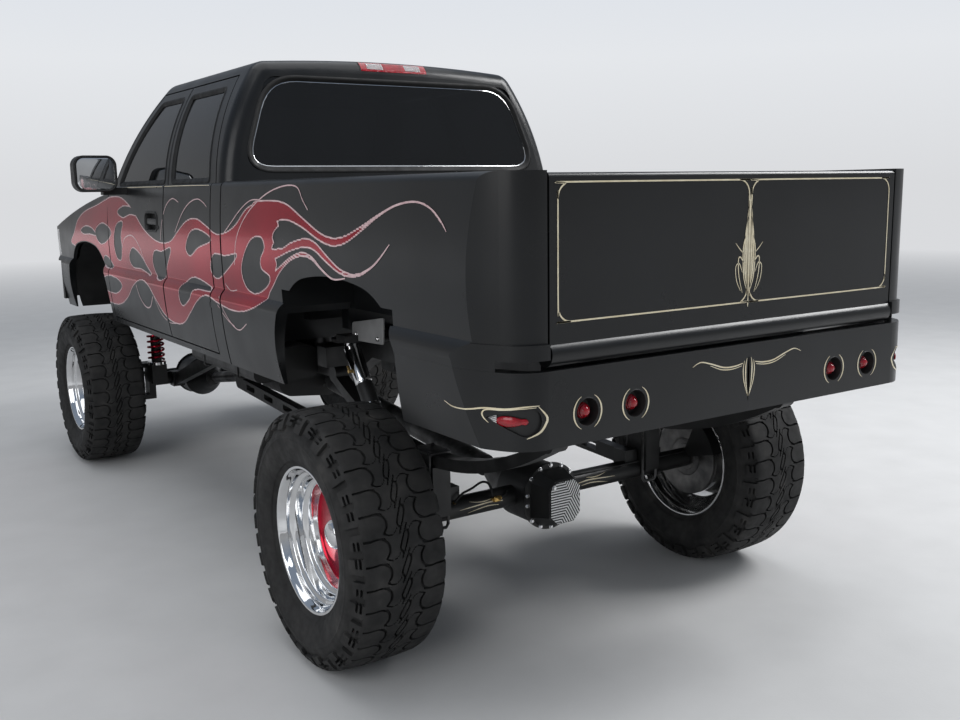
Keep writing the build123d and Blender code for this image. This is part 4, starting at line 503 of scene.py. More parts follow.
def contour(us, vs, fields, limits):
    """Points and faces of the grid where each field lies between its limits, with exact edges."""
    whole = np.ones((len(us) - 1, len(vs) - 1), bool)
    touched = whole.copy()
    for field, (low, high) in zip(fields, limits):
        corners = np.stack([field[:-1, :-1], field[1:, :-1], field[1:, 1:], field[:-1, 1:]])
        whole &= (corners >= low).all(0) & (corners <= high).all(0)
        touched &= (corners.max(0) >= low) & (corners.min(0) <= high)
    index, points, faces = {}, [], []

    def number(row):
        key = (round(row[0], 7), round(row[1], 7))
        if key not in index:
            index[key] = len(points)
            points.append((row[0], row[1]))
        return index[key]

    for i, j in zip(*np.nonzero(touched)):
        cell = [(us[a], vs[b], *(field[a, b] for field in fields))
                for a, b in ((i, j), (i + 1, j), (i + 1, j + 1), (i, j + 1))]
        if whole[i, j]:
            faces.append(tuple(number(row) for row in cell))
            continue
        for triangle in ((cell[0], cell[1], cell[2]), (cell[0], cell[2], cell[3])):
            cut = list(triangle)
            for column, (low, high) in enumerate(limits, start=2):
                if low > -FAR:
                    cut = trimmed(cut, lambda row: row[column] - low)
                if high < FAR:
                    cut = trimmed(cut, lambda row: high - row[column])
            face = tuple(dict.fromkeys(number(row) for row in cut))
            if len(face) > 2:
                faces.append(face)
    return points, faces


def grid(us, vs):
    """Rows (u, v) of a grid."""
    return np.stack(np.meshgrid(us, vs, indexing="ij"), -1).reshape(-1, 2)


def edges_of(faces):
    """Directed outer edges of a sheet of faces."""
    seen = set()
    for face in faces:
        for a, b in zip(face, face[1:] + face[:1]):
            if (b, a) in seen:
                seen.remove((b, a))
            else:
                seen.add((a, b))
    return seen


def walled(points, faces, top, bottom, skip=None):
    """A sheet lifted by top, with walls down to bottom along its outer edges."""
    high = [top(*point) for point in points]
    low = {}
    made = list(high)
    walls = []
    for a, b in edges_of(faces):
        if skip and skip(points[a], points[b]):
            continue
        for corner in (a, b):
            if corner not in low:
                low[corner] = len(made)
                made.append(bottom(*points[corner]))
        walls.append((b, a, low[a], low[b]))
    return made, list(faces) + walls


def strip(path, steps=8):
    """Points and faces of a flat brush stroke through rows (u, v, half width)."""
    return ribbon(smooth_path(path, steps))


def ribbon(rows):
    """Points and faces of a flat ribbon along rows (u, v, half width)."""
    points, faces = [], []
    for k, (u, v, half) in enumerate(rows):
        ahead, behind = rows[min(k + 1, len(rows) - 1)], rows[max(k - 1, 0)]
        du, dv = ahead[0] - behind[0], ahead[1] - behind[1]
        size = math.hypot(du, dv) or 1
        du, dv = du / size * half, dv / size * half
        points += [(u - dv, v + du), (u + dv, v - du)]
        if k:
            faces.append((2 * k - 2, 2 * k - 1, 2 * k + 1, 2 * k))
    return points, faces


# Plates, rings, bolts and surfaces

def face_on(origin, out, up=(0, 0, 1)):
    """Matrix with local z along out and local y towards up."""
    z = Vector(out).normalized()
    x = Vector(up).cross(z).normalized()
    return Matrix.Translation(Vector(origin)) @ Matrix((x, z.cross(x), z)).transposed().to_4x4()


def inset(outline, amount):
    """A closed outline, anticlockwise, moved inward by an amount."""
    rows = np.asarray(outline, float)
    edges = np.roll(rows, -1, 0) - rows
    normals = np.stack([-edges[:, 1], edges[:, 0]], 1)
    normals /= np.maximum(np.linalg.norm(edges, axis=1), 1e-9)[:, None]
    both = normals + np.roll(normals, 1, 0)
    both /= np.maximum((both * both).sum(1) / 2, 0.3)[:, None]
    return rows + both * amount


def banded(outline, section, capped=True):
    """Points and faces of a section of (inset, height) carried round a closed outline."""
    count = len(outline)
    points = [(u, v, height) for amount, height in section for u, v in inset(outline, amount)]
    faces = skin(len(section), count)
    if capped:
        faces.append(tuple(range((len(section) - 1) * count, len(section) * count)))
    return points, faces


def plate(outline, thickness, bevel=0.001):
    """Points and faces of a plate with a bevelled front."""
    return banded(outline, [(0, 0), (0, thickness - bevel), (0.3 * bevel, thickness - 0.3 * bevel),
                            (bevel, thickness)])


def bezel(outline, width, depth):
    """Points and faces of a raised ring inside an outline."""
    soft = min(width, depth) / 3
    return banded(outline, [(0, 0), (0, depth - soft), (soft, depth), (width - soft, depth),
                            (width, depth - soft), (width, 0)], False)


def rounded(half_u, half_v, radius, steps=5, centre=(0, 0)):
    """A rounded rectangle, anticlockwise."""
    rows = []
    for su, sv, start in ((1, 1, 0), (-1, 1, 90), (-1, -1, 180), (1, -1, 270)):
        for step in range(steps + 1):
            corner = centre[0] + su * (half_u - radius), centre[1] + sv * (half_v - radius)
            rows.append(polar(radius, math.radians(start + 90 * step / steps), corner))
    return rows


def circle(radius, steps=28, centre=(0, 0)):
    """A closed ring of points, anticlockwise."""
    return [polar(radius, 2 * math.pi * k / steps, centre) for k in range(steps)]


def dense(outline, step=0.03):
    """A closed outline with its long edges divided."""
    rows = []
    given = [tuple(row) for row in outline]
    for one, two in zip(given, given[1:] + given[:1]):
        parts = max(1, math.ceil(math.dist(one, two) / step))
        rows += [tuple(a + (b - a) * k / parts for a, b in zip(one, two)) for k in range(parts)]
    return rows


def add_bolt(heap, place, radius, height, material=0):
    """A hexagon bolt with its washer, standing on a plane."""
    heap.add(*banded(circle(radius * 1.35, 16), [(0, 0), (0, height * 0.22), (0.0006, height * 0.3)]),
             material, place)
    heap.add(*banded(circle(radius, 6), [(0, height * 0.25), (0, height * 0.85), (radius * 0.16, height)]),
             material, place)


# Tyres

TYRE_RADIUS = 0.485
TREAD_HALF = 0.152
PITCHES = 36
GROOVE_DEPTH = 0.013
SIDE_DEPTH = 0.019
TREAD_STEP = 0.0055
PITCH_RUN = 2 * math.pi * TYRE_RADIUS / PITCHES


def tyre_section():
    """Outer half section over the tread and down the shoulder, as rows (x, r)."""
    crown = [(x * TREAD_HALF, TYRE_RADIUS - 0.006 * x ** 2) for x in np.linspace(0, 0.9, 6)]
    shoulder = [(0.151, 0.4765), (0.159, 0.4715), (0.1655, 0.464), (0.172, 0.4525),
                (0.1785, 0.44), (0.184, 0.427), (0.1875, 0.416)]
    return np.array(crown + shoulder)


TYRE_SECTION = tyre_section()
SECTION_RUN = np.concatenate([[0], np.cumsum(np.linalg.norm(np.diff(TYRE_SECTION, axis=0), axis=1))])
TREAD_EDGE_RUN = SECTION_RUN[6]
SHOULDER_RUN = SECTION_RUN[-1]


def on_tyre(angle, run, sink):
    """Point of the tyre at an angle and a signed run over its section, sunk below the surface."""
    side, distance = (1 if run >= 0 else -1), abs(run)
    x = np.interp(distance, SECTION_RUN, TYRE_SECTION[:, 0])
    r = np.interp(distance, SECTION_RUN, TYRE_SECTION[:, 1])
    lean = np.clip((distance - TREAD_EDGE_RUN) / 0.03, 0, 1) * math.radians(62)
    x -= sink * math.sin(lean)
    r -= sink * math.cos(lean)
    return side * x, r * math.cos(angle), r * math.sin(angle)


# Grooves of one pitch as rows (run across, share of a pitch, half width), and their turned copies
TREAD_GROOVES = (
    ((-0.17, 0.02, 0.0045), (-0.125, 0.03, 0.0042), (-0.094, 0.0, 0.0036), (-0.07, 0.04, 0.0036)),
    ((-0.088, 0.02, 0.0026), (-0.066, 0.16, 0.0046), (-0.058, 0.38, 0.0052), (-0.06, 0.62, 0.005),
     (-0.074, 0.84, 0.004)),
    ((-0.074, 0.84, 0.003), (-0.048, 0.94, 0.0028), (-0.028, 0.8, 0.0026), (-0.018, 0.56, 0.0024)),
    ((0.016, -0.42, 0.0034), (-0.002, 0.02, 0.0036), (-0.018, 0.5, 0.004), (-0.01, 0.7, 0.0034)),
)
GROOVE_TURN = 0.52

# Side lugs: gap at the foot, how much shorter each second one is, middle and half width in a pitch,
# runs of the two notches beyond the tread's edge, and their half height and half width
LUG_FOOT = 0.003
LUG_STEP = 0.016
LUG_MIDDLE = 0.52
LUG_HALF = 0.335
NOTCH_RUNS = (0.017, 0.034)
NOTCH_HALF = (0.005, 0.019)


def groove_floor(run):
    """Depth of the groove beside a run: deeper down the shoulder than over the tread."""
    return float(np.interp(abs(run), (TREAD_EDGE_RUN, TREAD_EDGE_RUN + 0.02), (GROOVE_DEPTH, SIDE_DEPTH)))


def shoulder_lug(run, share, long_lug):
    """Signed distance to the raised part of a side lug in its own pitch."""
    length = (SHOULDER_RUN if long_lug else SHOULDER_RUN - LUG_STEP) - LUG_FOOT
    lug = np.maximum(np.abs(share - LUG_MIDDLE) * PITCH_RUN - LUG_HALF * PITCH_RUN, run - length)
    notch_side = 0.66 if long_lug else 0.36
    for notch in NOTCH_RUNS:
        reach = np.maximum(np.abs(run - (TREAD_EDGE_RUN + notch)) - NOTCH_HALF[0],
                           np.abs(share - notch_side) * PITCH_RUN - NOTCH_HALF[1])
        lug = np.maximum(lug, -reach)
    return lug


def tread_field(runs, shares):
    """Signed distance to the raised rubber over two pitches."""
    where = grid(runs, shares)
    run, share = where[:, 0], where[:, 1]
    metric = np.stack([run, share * PITCH_RUN], 1)
    land = np.full(len(where), FAR)
    for copy in range(-2, 4):
        for path in TREAD_GROOVES:
            for turn in (1, -1):
                rows = [(turn * u, (turn * v + (GROOVE_TURN if turn < 0 else 0) + copy) * PITCH_RUN, half)
                        for u, v, half in path]
                land = np.minimum(land, stroke(metric, rows, 5))
    raised = -land
    beyond = np.abs(run) > TREAD_EDGE_RUN + 0.004
    local = share % 1.0
    for long_lug in (True, False):
        mask = beyond & ((share % 2.0 < 1.0) == long_lug)
        raised[mask] = shoulder_lug(np.abs(run), local, long_lug)[mask]
    return raised.reshape(len(runs), len(shares))


# Half sections (x, r) of the carcass: bead, sidewall rings and groove floor; then its inside
CARCASS_OUTSIDE = (
    (0.1335, 0.2705), (0.146, 0.2765), (0.153, 0.289), (0.158, 0.296), (0.163, 0.2965),
    (0.17, 0.312), (0.1785, 0.338), (0.1835, 0.362), (0.185, 0.381), (0.1872, 0.3835),
    (0.1874, 0.3875), (0.1852, 0.39), (0.183, 0.404), (0.1765, 0.414), (0.166, 0.4325),
    (0.154, 0.453), (0.146, 0.466), (0.11, 0.47), (0, 0.472))
CARCASS_INSIDE = [(0.1235, 0.2705), (0.155, 0.33), (0.163, 0.38), (0.14, 0.44), (0, 0.455)]
CARCASS_SEGMENTS = 120
TYRE_THINNING = 0.55


def tyre_mesh():
    """Carcass with raised sidewall rings, groove floor and the raised tread over all pitches."""
    heap = Heap()
    outer = softened(CARCASS_OUTSIDE, 0.006, 2)
    section = list(outer) + [(-x, r) for x, r in outer[::-1][1:]]
    section += [(-x, r) for x, r in CARCASS_INSIDE] + CARCASS_INSIDE[::-1][1:]
    heap.add(*turned(section, CARCASS_SEGMENTS, closed=True))
    runs = np.arange(-SHOULDER_RUN, SHOULDER_RUN + TREAD_STEP, TREAD_STEP)
    shares = np.linspace(0, 2, 30)
    sheet_points, sheet_faces = contour(runs, shares, [tread_field(runs, shares)], [(-FAR, 0)])
    turn = 2 * math.pi / PITCHES

    def across_seam(one, two):
        return abs(one[1] - two[1]) < 1e-6 and (one[1] < 1e-6 or one[1] > 2 - 1e-6)

    made, walls = walled(
        sheet_points, sheet_faces,
        lambda run, share: on_tyre(share * turn, run, 0),
        lambda run, share: on_tyre(share * turn, run, groove_floor(run)),
        across_seam)
    block = np.array(made)
    for pair in range(PITCHES // 2):
        angle = 2 * turn * pair
        c, s = math.cos(angle), math.sin(angle)
        rotated = np.stack([block[:, 0], block[:, 1] * c - block[:, 2] * s,
                            block[:, 1] * s + block[:, 2] * c], 1)
        heap.add(rotated, walls)
    mesh = modified("tyre", heap.mesh("tyre", RUBBER), ("WELD", {"merge_threshold": 1e-5}),
                    ("DECIMATE", {"ratio": TYRE_THINNING}))
    return shaded(mesh, 38)


# Rims: chrome steps outside, candy red dish, chrome cap, and the back with its disc

RIM_HALF = 0.15
SPINDLE_BORE = 0.0343
VANES = 36


def rim_mesh():
    """Rim with its axis along local x and its face towards +x."""
    steps = [(RIM_HALF - 0.014, 0.268), (RIM_HALF - 0.004, 0.2785), (RIM_HALF + 0.0, 0.2765),
             (RIM_HALF - 0.001, 0.267), (0.134, 0.26), (0.121, 0.253), (0.103, 0.25),
             (0.096, 0.233), (0.07, 0.2265), (0.058, 0.2235), (0.051, 0.206), (0.02, 0.201),
             (0.01, 0.199)]
    dish = [(0.01, 0.199), (0.0, 0.193), (-0.004, 0.16), (0.0, 0.11), (0.008, 0.076)]
    cap = [(0.008, 0.076), (0.012, 0.0745), (0.018, 0.066), (0.0185, 0.061), (0.024, 0.06),
           (0.042, 0.056), (0.056, 0.044), (0.0625, 0.025), (0.0645, 0.0)]
    back = [(RIM_HALF - 0.014, 0.268), (0.13, 0.262), (0.1, 0.262), (0.062, 0.236), (-0.062, 0.236),
            (-0.1, 0.262), (-0.13, 0.262), (-0.138, 0.269), (-RIM_HALF, 0.279), (-RIM_HALF, 0.268),
            (-0.128, 0.252), (-0.096, 0.25), (-0.06, 0.224), (-0.036, 0.208), (-0.03, 0.17),
            (-0.048, 0.11), (-0.062, 0.092), (-0.068, SPINDLE_BORE)]
    heap = Heap()
    for section, radius, number in ((steps, 0.005, 0), (dish, 0.02, 1), (cap, 0.005, 0), (back, 0.006, 2)):
        points, faces = turned(softened(section, radius, 4), 96)
        heap.add(points, turned_over(faces, number == 2), number)
    return heap.mesh("rim", [CHROME, CANDY, POLISHED])


def disc_mesh():
    """Vented brake disc with its hat, bolted to the back of the wheel face."""
    heap = Heap()
    back, front = -0.113, -0.087
    for section in (
        [(front, 0.085), (front, 0.178), (front - 0.009, 0.178), (front - 0.009, 0.09)],
        [(back + 0.009, 0.09), (back + 0.009, 0.178), (back, 0.178), (back, 0.085)],
        [(-0.069, 0.0345), (-0.069, 0.086), (front, 0.092), (back, 0.092), (back, 0.062),
         (-0.117, 0.062), (-0.117, 0.0345)],
    ):
        heap.add(*turned(softened(section, 0.002, 2, True), 64, closed=True))
    box = [(a * 0.005, b * 0.043, c * 0.0025) for a in (-1, 1) for b in (-1, 1) for c in (-1, 1)]
    sides = ((0, 1, 3, 2), (4, 6, 7, 5), (0, 4, 5, 1), (2, 3, 7, 6), (0, 2, 6, 4), (1, 5, 7, 3))
    for k in range(VANES):
        turn = Matrix.Rotation(2 * math.pi * k / VANES, 4, "X")
        heap.add(box, sides, 0, turn @ at((back + front) / 2, 0.133, 0))
    return heap.mesh("brake_disc", IRON, 35)


def wheels():
    """Four wheels from three shared meshes, each turned with its face outward."""
    tyre, rim, disc = tyre_mesh(), rim_mesh(), disc_mesh()
    for end, y in (("front", FRONT_AXLE_Y), ("rear", REAR_AXLE_Y)):
        for side, tag in SIDES:
            turn = Matrix.Rotation(0 if side > 0 else math.pi, 4, "Z")
            place = at(side * WHEEL_X, y, AXLE_Z) @ turn
            body = f"wheel_{end}_{tag}"
            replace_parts(stand(f"tread_tyre_{end}_{tag}", tyre, body, place),
                        f"tyre_{end}_{tag}")
            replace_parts(stand(f"deep_rim_{end}_{tag}", rim, body, place),
                        f"rim_{end}_{tag}")
            stand(f"brake_disc_{end}_{tag}", disc, body, place)


wheels()


# Body side surface and its flames

def arc_x(z, low, middle, high):
    """X on the arc through three points (x, z), on the middle point's side."""
    (x1, z1), (x2, z2), (x3, z3) = low, middle, high
    rows = np.array([[2 * (x2 - x1), 2 * (z2 - z1)], [2 * (x3 - x1), 2 * (z3 - z1)]])
    right = np.array([x2 ** 2 + z2 ** 2 - x1 ** 2 - z1 ** 2, x3 ** 2 + z3 ** 2 - x1 ** 2 - z1 ** 2])
    cx, cz = np.linalg.solve(rows, right)
    radius = math.hypot(x1 - cx, z1 - cz)
    return cx + math.copysign(1, x2 - cx) * math.sqrt(max(radius ** 2 - (z - cz) ** 2, 0))


SIDE_TOPS = {"bed": (0.95, 1.801), "cab": (0.95, 1.795), "nose": (0.93, 1.867)}


def side_x(z, part):
    """Half width of the body at a height."""
    if z < SHOULDER_Z:
        return arc_x(z, (0.95, ROCKER_Z), (0.9735, 1.1165), (BODY_HALF, SHOULDER_Z))
    if z < CREASE_Z:
        return arc_x(z, (BODY_HALF, SHOULDER_Z), (0.98, 1.295), (0.962, CREASE_Z))
    return arc_x(z, (0.962, CREASE_Z), (0.968, CREASE_Z + 0.19), SIDE_TOPS[part])


def body_side(side, part="cab", lift=0.0):
    """Surface of the body side below the belt, over (y, z)."""
    return lambda y, z, out=0.0: (side * (side_x(z, part) + (lift + out)), y, z)


# Flame layout in the side view, rows (y, z) in millimetres
FLAME_MASS = (
    (2300, 1425), (2190, 1505), (2070, 1590), (1860, 1650), (1560, 1690), (1260, 1735), (1020, 1738),
    (840, 1700), (690, 1640), (520, 1560), (300, 1508), (90, 1512), (-60, 1572), (-190, 1622),
    (-330, 1636), (-470, 1606), (-600, 1572), (-730, 1582), (-850, 1618), (-980, 1688), (-1120, 1706),
    (-1260, 1672), (-1330, 1600), (-1250, 1530), (-1290, 1470), (-1240, 1400), (-1150, 1306),
    (-980, 1252), (-810, 1238), (-640, 1254), (-480, 1278), (-350, 1245), (-220, 1176), (-80, 1108),
    (80, 1092), (230, 1122), (360, 1196), (470, 1262), (600, 1280), (760, 1236), (900, 1162),
    (1080, 1106), (1280, 1090), (1500, 1118), (1700, 1250), (2000, 1380),
)
FLAME_TAILS = (
    ((-1080, 1660, 58), (-1230, 1672, 50), (-1380, 1676, 34), (-1530, 1640, 21), (-1690, 1590, 17),
     (-1800, 1574, 17), (-1900, 1586, 15), (-2030, 1630, 10), (-2130, 1668, 6), (-2250, 1704, 3),
     (-2370, 1716, 2.5), (-2460, 1698, 2.5), (-2552, 1636, 2)),
    ((-1190, 1500, 34), (-1300, 1512, 20), (-1430, 1542, 18), (-1560, 1562, 19), (-1650, 1552, 18),
     (-1740, 1514, 15), (-1840, 1476, 11), (-1930, 1464, 8), (-2010, 1472, 6), (-2085, 1498, 3),
     (-2145, 1530, 2.5), (-2215, 1580, 2)),
    ((-1150, 1372, 48), (-1225, 1400, 28), (-1310, 1446, 13), (-1420, 1494, 9), (-1530, 1518, 10),
     (-1620, 1508, 8), (-1700, 1472, 5), (-1790, 1442, 3), (-1890, 1450, 2)),
)
FLAME_HOLES = (
    ((-1130, 1568), (-1164, 1530), (-1118, 1482), (-1126, 1438), (-1206, 1410), (-1160, 1368),
     (-1040, 1334), (-942, 1352), (-900, 1418), (-944, 1492), (-1030, 1556)),
    ((-1300, 1608), (-1260, 1570), (-1330, 1534), (-1450, 1566), (-1580, 1590), (-1500, 1618),
     (-1400, 1634)),
    ((-250, 1566), (-380, 1578), (-530, 1540), (-350, 1500), (-226, 1456), (-170, 1492)),
    ((-560, 1472), (-710, 1472), (-850, 1484), (-704, 1408), (-580, 1368), (-508, 1406)),
    ((362, 1448), (230, 1452), (80, 1474), (160, 1388), (226, 1312), (340, 1316), (404, 1382)),
    ((780, 1448), (640, 1418), (530, 1358), (470, 1318), (640, 1342), (800, 1344), (864, 1390)),
    ((-100, 1300), (-240, 1346), (-400, 1334), (-510, 1304), (-300, 1298), (-222, 1246),
     (-112, 1204), (-66, 1240)),
    ((1600, 1530), (1440, 1574), (1290, 1556), (1230, 1520), (1350, 1470), (1480, 1452), (1570, 1478)),
    ((1170, 1440), (1150, 1520), (1080, 1578), (960, 1590), (1010, 1520), (1010, 1440), (1050, 1374),
     (1130, 1380)),
    ((1430, 1372), (1330, 1366), (1240, 1316), (1350, 1312), (1460, 1330)),
    ((1420, 1240), (1260, 1262), (1080, 1252), (1010, 1218), (1150, 1170), (1340, 1168), (1440, 1196)),
    ((1990, 1520), (1850, 1548), (1690, 1536), (1600, 1500), (1760, 1506), (1900, 1500)),
    ((1060, 1650), (920, 1682), (720, 1668), (640, 1636), (800, 1640), (950, 1622)),
)
GHOST_LICKS = (
    ((-640, 1290, 2.2), (-700, 1226, 2.4), (-790, 1172, 2.6), (-870, 1160, 2.4), (-960, 1196, 2)),
    ((-620, 1250, 2), (-720, 1196, 2.2), (-810, 1170, 2)),
    ((-820, 1440, 2.4), (-860, 1560, 2.6), (-980, 1660, 2.6), (-1160, 1736, 2.8), (-1340, 1772, 2.8),
     (-1480, 1770, 2.6), (-1540, 1722, 2.2), (-1590, 1684, 2)),
    ((-700, 1572, 2.4), (-800, 1624, 2.6), (-900, 1676, 2.4), (-1010, 1716, 2.4), (-1110, 1722, 2)),
    ((-10, 1560, 2.2), (-120, 1650, 2.6), (-230, 1704, 2.6), (-350, 1724, 2.4), (-440, 1706, 2),
     (-480, 1688, 2)),
    ((240, 1512, 2.2), (200, 1610, 2.6), (130, 1690, 2.6), (30, 1726, 2.4), (-70, 1708, 2.2)),
    ((700, 1250, 3), (650, 1180, 3.4), (560, 1136, 3.6), (470, 1146, 3.4), (400, 1206, 3)),
    ((380, 1210, 2.2), (300, 1130, 2.6), (180, 1090, 2.4), (60, 1092, 2)),
    ((560, 1384, 2.2), (650, 1470, 2.6), (780, 1520, 2.6), (930, 1500, 2.4), (1000, 1440, 2)),
    ((-680, 1350, 2), (-740, 1322, 2.2), (-820, 1330, 2)),
)
TAIL_ENDS = (
    ((-2030, 1630, 5), (-2130, 1668, 4.4), (-2250, 1704, 3.6), (-2370, 1716, 3.2), (-2460, 1698, 2.8),
     (-2520, 1664, 2.4), (-2556, 1630, 1.6)),
    ((-2010, 1472, 5), (-2085, 1498, 4), (-2145, 1530, 3.4), (-2215, 1580, 1.8)),
    ((-1700, 1472, 5), (-1790, 1442, 3.6), (-1890, 1450, 2)),
)
FLAME_REACH = ((-2.6, 2.34), (1.07, 1.79))
FLAME_CELL = 0.0066
EDGE_WIDTH = 0.007
PAINT_LIFT = 0.0012
PAINT_STOP = 0.006

# Painted panels: name, rear and front end, surface, body
FLAME_PANELS = (
    ("bed", -2.6, -0.6668, "bed", "root"),
    ("cab_quarter", -0.6502, -0.5322, "cab", "root"),
    ("rear_door", -0.5182, 0.1772, "cab", "door_rear_{}"),
    ("front_door", 0.1938, 1.2882, "cab", "door_front_{}"),
    ("fender", 1.3022, 2.34, "nose", "root"),
)

ARCH_HALF = 0.5
ARCH_TOP = 1.447


def arch_loop(axle_y, grow):
    """Closed side outline of a wheel arch, grown a little."""
    rows = []
    half, top = ARCH_HALF + grow, ARCH_TOP + grow
    shoulder = ROCKER_Z + 0.72 * (top - ROCKER_Z)
    marks = [(-1, ROCKER_Z), (-0.87, shoulder), (-0.5, top - 0.022), (0, top), (0.5, top - 0.022),
             (0.87, shoulder), (1, ROCKER_Z)]
    for a, b, c in ((0, 1, 2), (2, 3, 4), (4, 5, 6)):
        rows += list(arc_rows(*[(marks[k][0] * half, marks[k][1]) for k in (a, b, c)]))
    rows = [(axle_y + u, v) for u, v in rows]
    return [(rows[0][0], 0.8)] + rows + [(rows[-1][0], 0.8)]


def arc_rows(first, middle, last, steps=14):
    """Rows along the arc through three points."""
    a, b, c = (complex(*point) for point in (first, middle, last))
    w = (c - a) / (b - a)
    centre = (b - a) * (w - abs(w) ** 2) / (2j * w.imag) + a
    start, through, end = (math.atan2((p - centre).imag, (p - centre).real) for p in (a, b, c))
    sweep = (end - start) % (2 * math.pi)
    if (through - start) % (2 * math.pi) > sweep:
        sweep -= 2 * math.pi
    radius = abs(a - centre)
    return [polar(radius, start + sweep * k / steps, (centre.real, centre.imag)) for k in range(steps + 1)]


def flame_fields(ys, zs):
    """Fields over the side view: the red shapes, their outlines and the arches."""
    where = grid(ys, zs)
    red = loop(where, metres(FLAME_MASS))
    for path in FLAME_TAILS:
        red = np.minimum(red, stroke(where, metres(path)))
    for path in FLAME_HOLES:
        red = np.maximum(red, -loop(where, metres(path)))
    line = np.abs(red + EDGE_WIDTH / 2) - EDGE_WIDTH / 2
    arch = np.minimum(*(loop(where, arch_loop(y, PAINT_STOP), 1) for y in (REAR_AXLE_Y, FRONT_AXLE_Y)))
    return [field.reshape(len(ys), len(zs)) for field in (red, line, arch)]


def flames():
    """Flames cut to each panel of the side, mirrored on both sides, just over the paint."""
    ys, zs = (np.arange(*reach, FLAME_CELL) for reach in FLAME_REACH)
    red, line, arch = flame_fields(ys, zs)
    along = np.repeat(ys[:, None], len(zs), 1)
    for name, rear, front, part, body in FLAME_PANELS:
        panel = (along, (rear, front)), (arch, (0, FAR))
        fill = *panel, (red, (-FAR, -EDGE_WIDTH / 2)), (line, (0, FAR))
        edge = *panel, (line, (-FAR, 0))
        layers = [contour(ys, zs, *zip(*tests)) for tests in (fill, edge)]
        licks = []
        for path in GHOST_LICKS + TAIL_ENDS:
            rows = [row for row in smooth_path(metres(path), 10) if rear < row[0] < front]
            if len(rows) > 2:
                licks.append(ribbon(rows))
        for side, tag in SIDES:
            heap = Heap()
            for number, shape in enumerate(layers):
                heap.lay(shape, body_side(side, part, PAINT_LIFT), number, side < 0)
            for shape in licks:
                heap.lay(shape, body_side(side, part, 1.3 * PAINT_LIFT), 1, side > 0)
            heap.piece(f"flames_{name}_{tag}", [CANDY, FLAME_EDGE], body.format(tag), "body_paint")


flames()


# Cream striping, as strokes laid flat on a surface

def mirrored(paths, centre):
    """The paths and their mirror images about a centre line."""
    return [list(path) for path in paths] + [[(2 * centre - u, v, w) for u, v, w in path] for path in paths]


SPEAR_X = 28.0
FRAME_LINE = 2.4


def frame_box(low_x, high_x, low_z, high_z, radius):
    """A rounded rectangle as one stroke, in millimetres."""
    rows = []
    for x, z, start in ((high_x - radius, high_z - radius, 0), (low_x + radius, high_z - radius, 90),
                        (low_x + radius, low_z + radius, 180), (high_x - radius, low_z + radius, 270)):
        arc = [(*polar(radius, math.radians(start + 22.5 * step), (x, z)), FRAME_LINE) for step in range(5)]
        rows += arc + arc[-1:]
    return rows + rows[:1]


def tailgate_striping():
    """Two framed fields and the spear between them, on the tailgate's upper panel."""
    frames = [frame_box(-765, SPEAR_X - 6, 1372, 1768, 46), frame_box(SPEAR_X + 6, 765, 1372, 1768, 46)]
    spear = [((SPEAR_X, 1722, 0.6), (SPEAR_X, 1690, 3.4), (SPEAR_X, 1620, 4.2), (SPEAR_X, 1520, 5),
              (SPEAR_X, 1450, 4), (SPEAR_X, 1404, 1.2), (SPEAR_X, 1372, 2.4), (SPEAR_X, 1356, 1))]
    feathers = (
        ((5, 1700, 0.8), (9, 1640, 3.6), (11, 1560, 4), (9, 1470, 3.4), (3, 1408, 1)),
        ((9, 1650, 0.8), (17, 1600, 3), (20, 1540, 3.2), (17, 1470, 3), (6, 1420, 1)),
        ((18, 1590, 0.8), (27, 1556, 2.2), (28, 1510, 2.4), (22, 1452, 2), (8, 1412, 0.8)),
        ((24, 1500, 0.8), (40, 1520, 2.2), (50, 1512, 1.8), (46, 1460, 1.6), (28, 1404, 0.8)),
        ((30, 1470, 0.8), (46, 1500, 1.8), (62, 1488, 1.4), (56, 1444, 1.4), (36, 1410, 0.8)),
        ((26, 1532, 0.8), (44, 1546, 1.6), (64, 1566, 0.8)),
    )
    centred = [[(SPEAR_X + u, v, w) for u, v, w in path] for path in feathers]
    heap = Heap()
    for path in frames + spear + mirrored(centred, SPEAR_X):
        heap.lay(strip(metres(path)), lambda u, v: (u, UPPER_PANEL_Y - PAINT_LIFT, v))
    heap.piece("tailgate_striping", CREAM, "tailgate", "body_paint")


CORNER_FLAT = 0.8104
CORNER_TURN = 60.0
WIDE_RADIUS = 0.5


def corner_curve():
    """Plan of the right rear corner as rows (run from the centre line, x, y): tight arc, then wide."""
    rows = [(0.0, BODY_REAR), (CORNER_FLAT, BODY_REAR)]
    turn = math.radians(CORNER_TURN)
    wide_x = CORNER_FLAT - (WIDE_RADIUS - CORNER_RADIUS) * math.sin(turn)
    wide_y = BODY_REAR + CORNER_RADIUS + (WIDE_RADIUS - CORNER_RADIUS) * math.cos(turn)
    for angle in np.linspace(0, turn, 16)[1:]:
        rows.append((CORNER_FLAT + CORNER_RADIUS * math.sin(angle),
                     BODY_REAR + CORNER_RADIUS * (1 - math.cos(angle))))
    for angle in np.linspace(turn, math.pi / 2, 16)[1:]:
        rows.append((wide_x + WIDE_RADIUS * math.sin(angle), wide_y - WIDE_RADIUS * math.cos(angle)))
    rows.append((rows[-1][0], rows[-1][1] + 0.5))
    given = np.array(rows)
    run = np.concatenate([[0], np.cumsum(np.linalg.norm(np.diff(given, axis=0), axis=1))])
    return np.column_stack([run, given])


CORNER_CURVE = corner_curve()


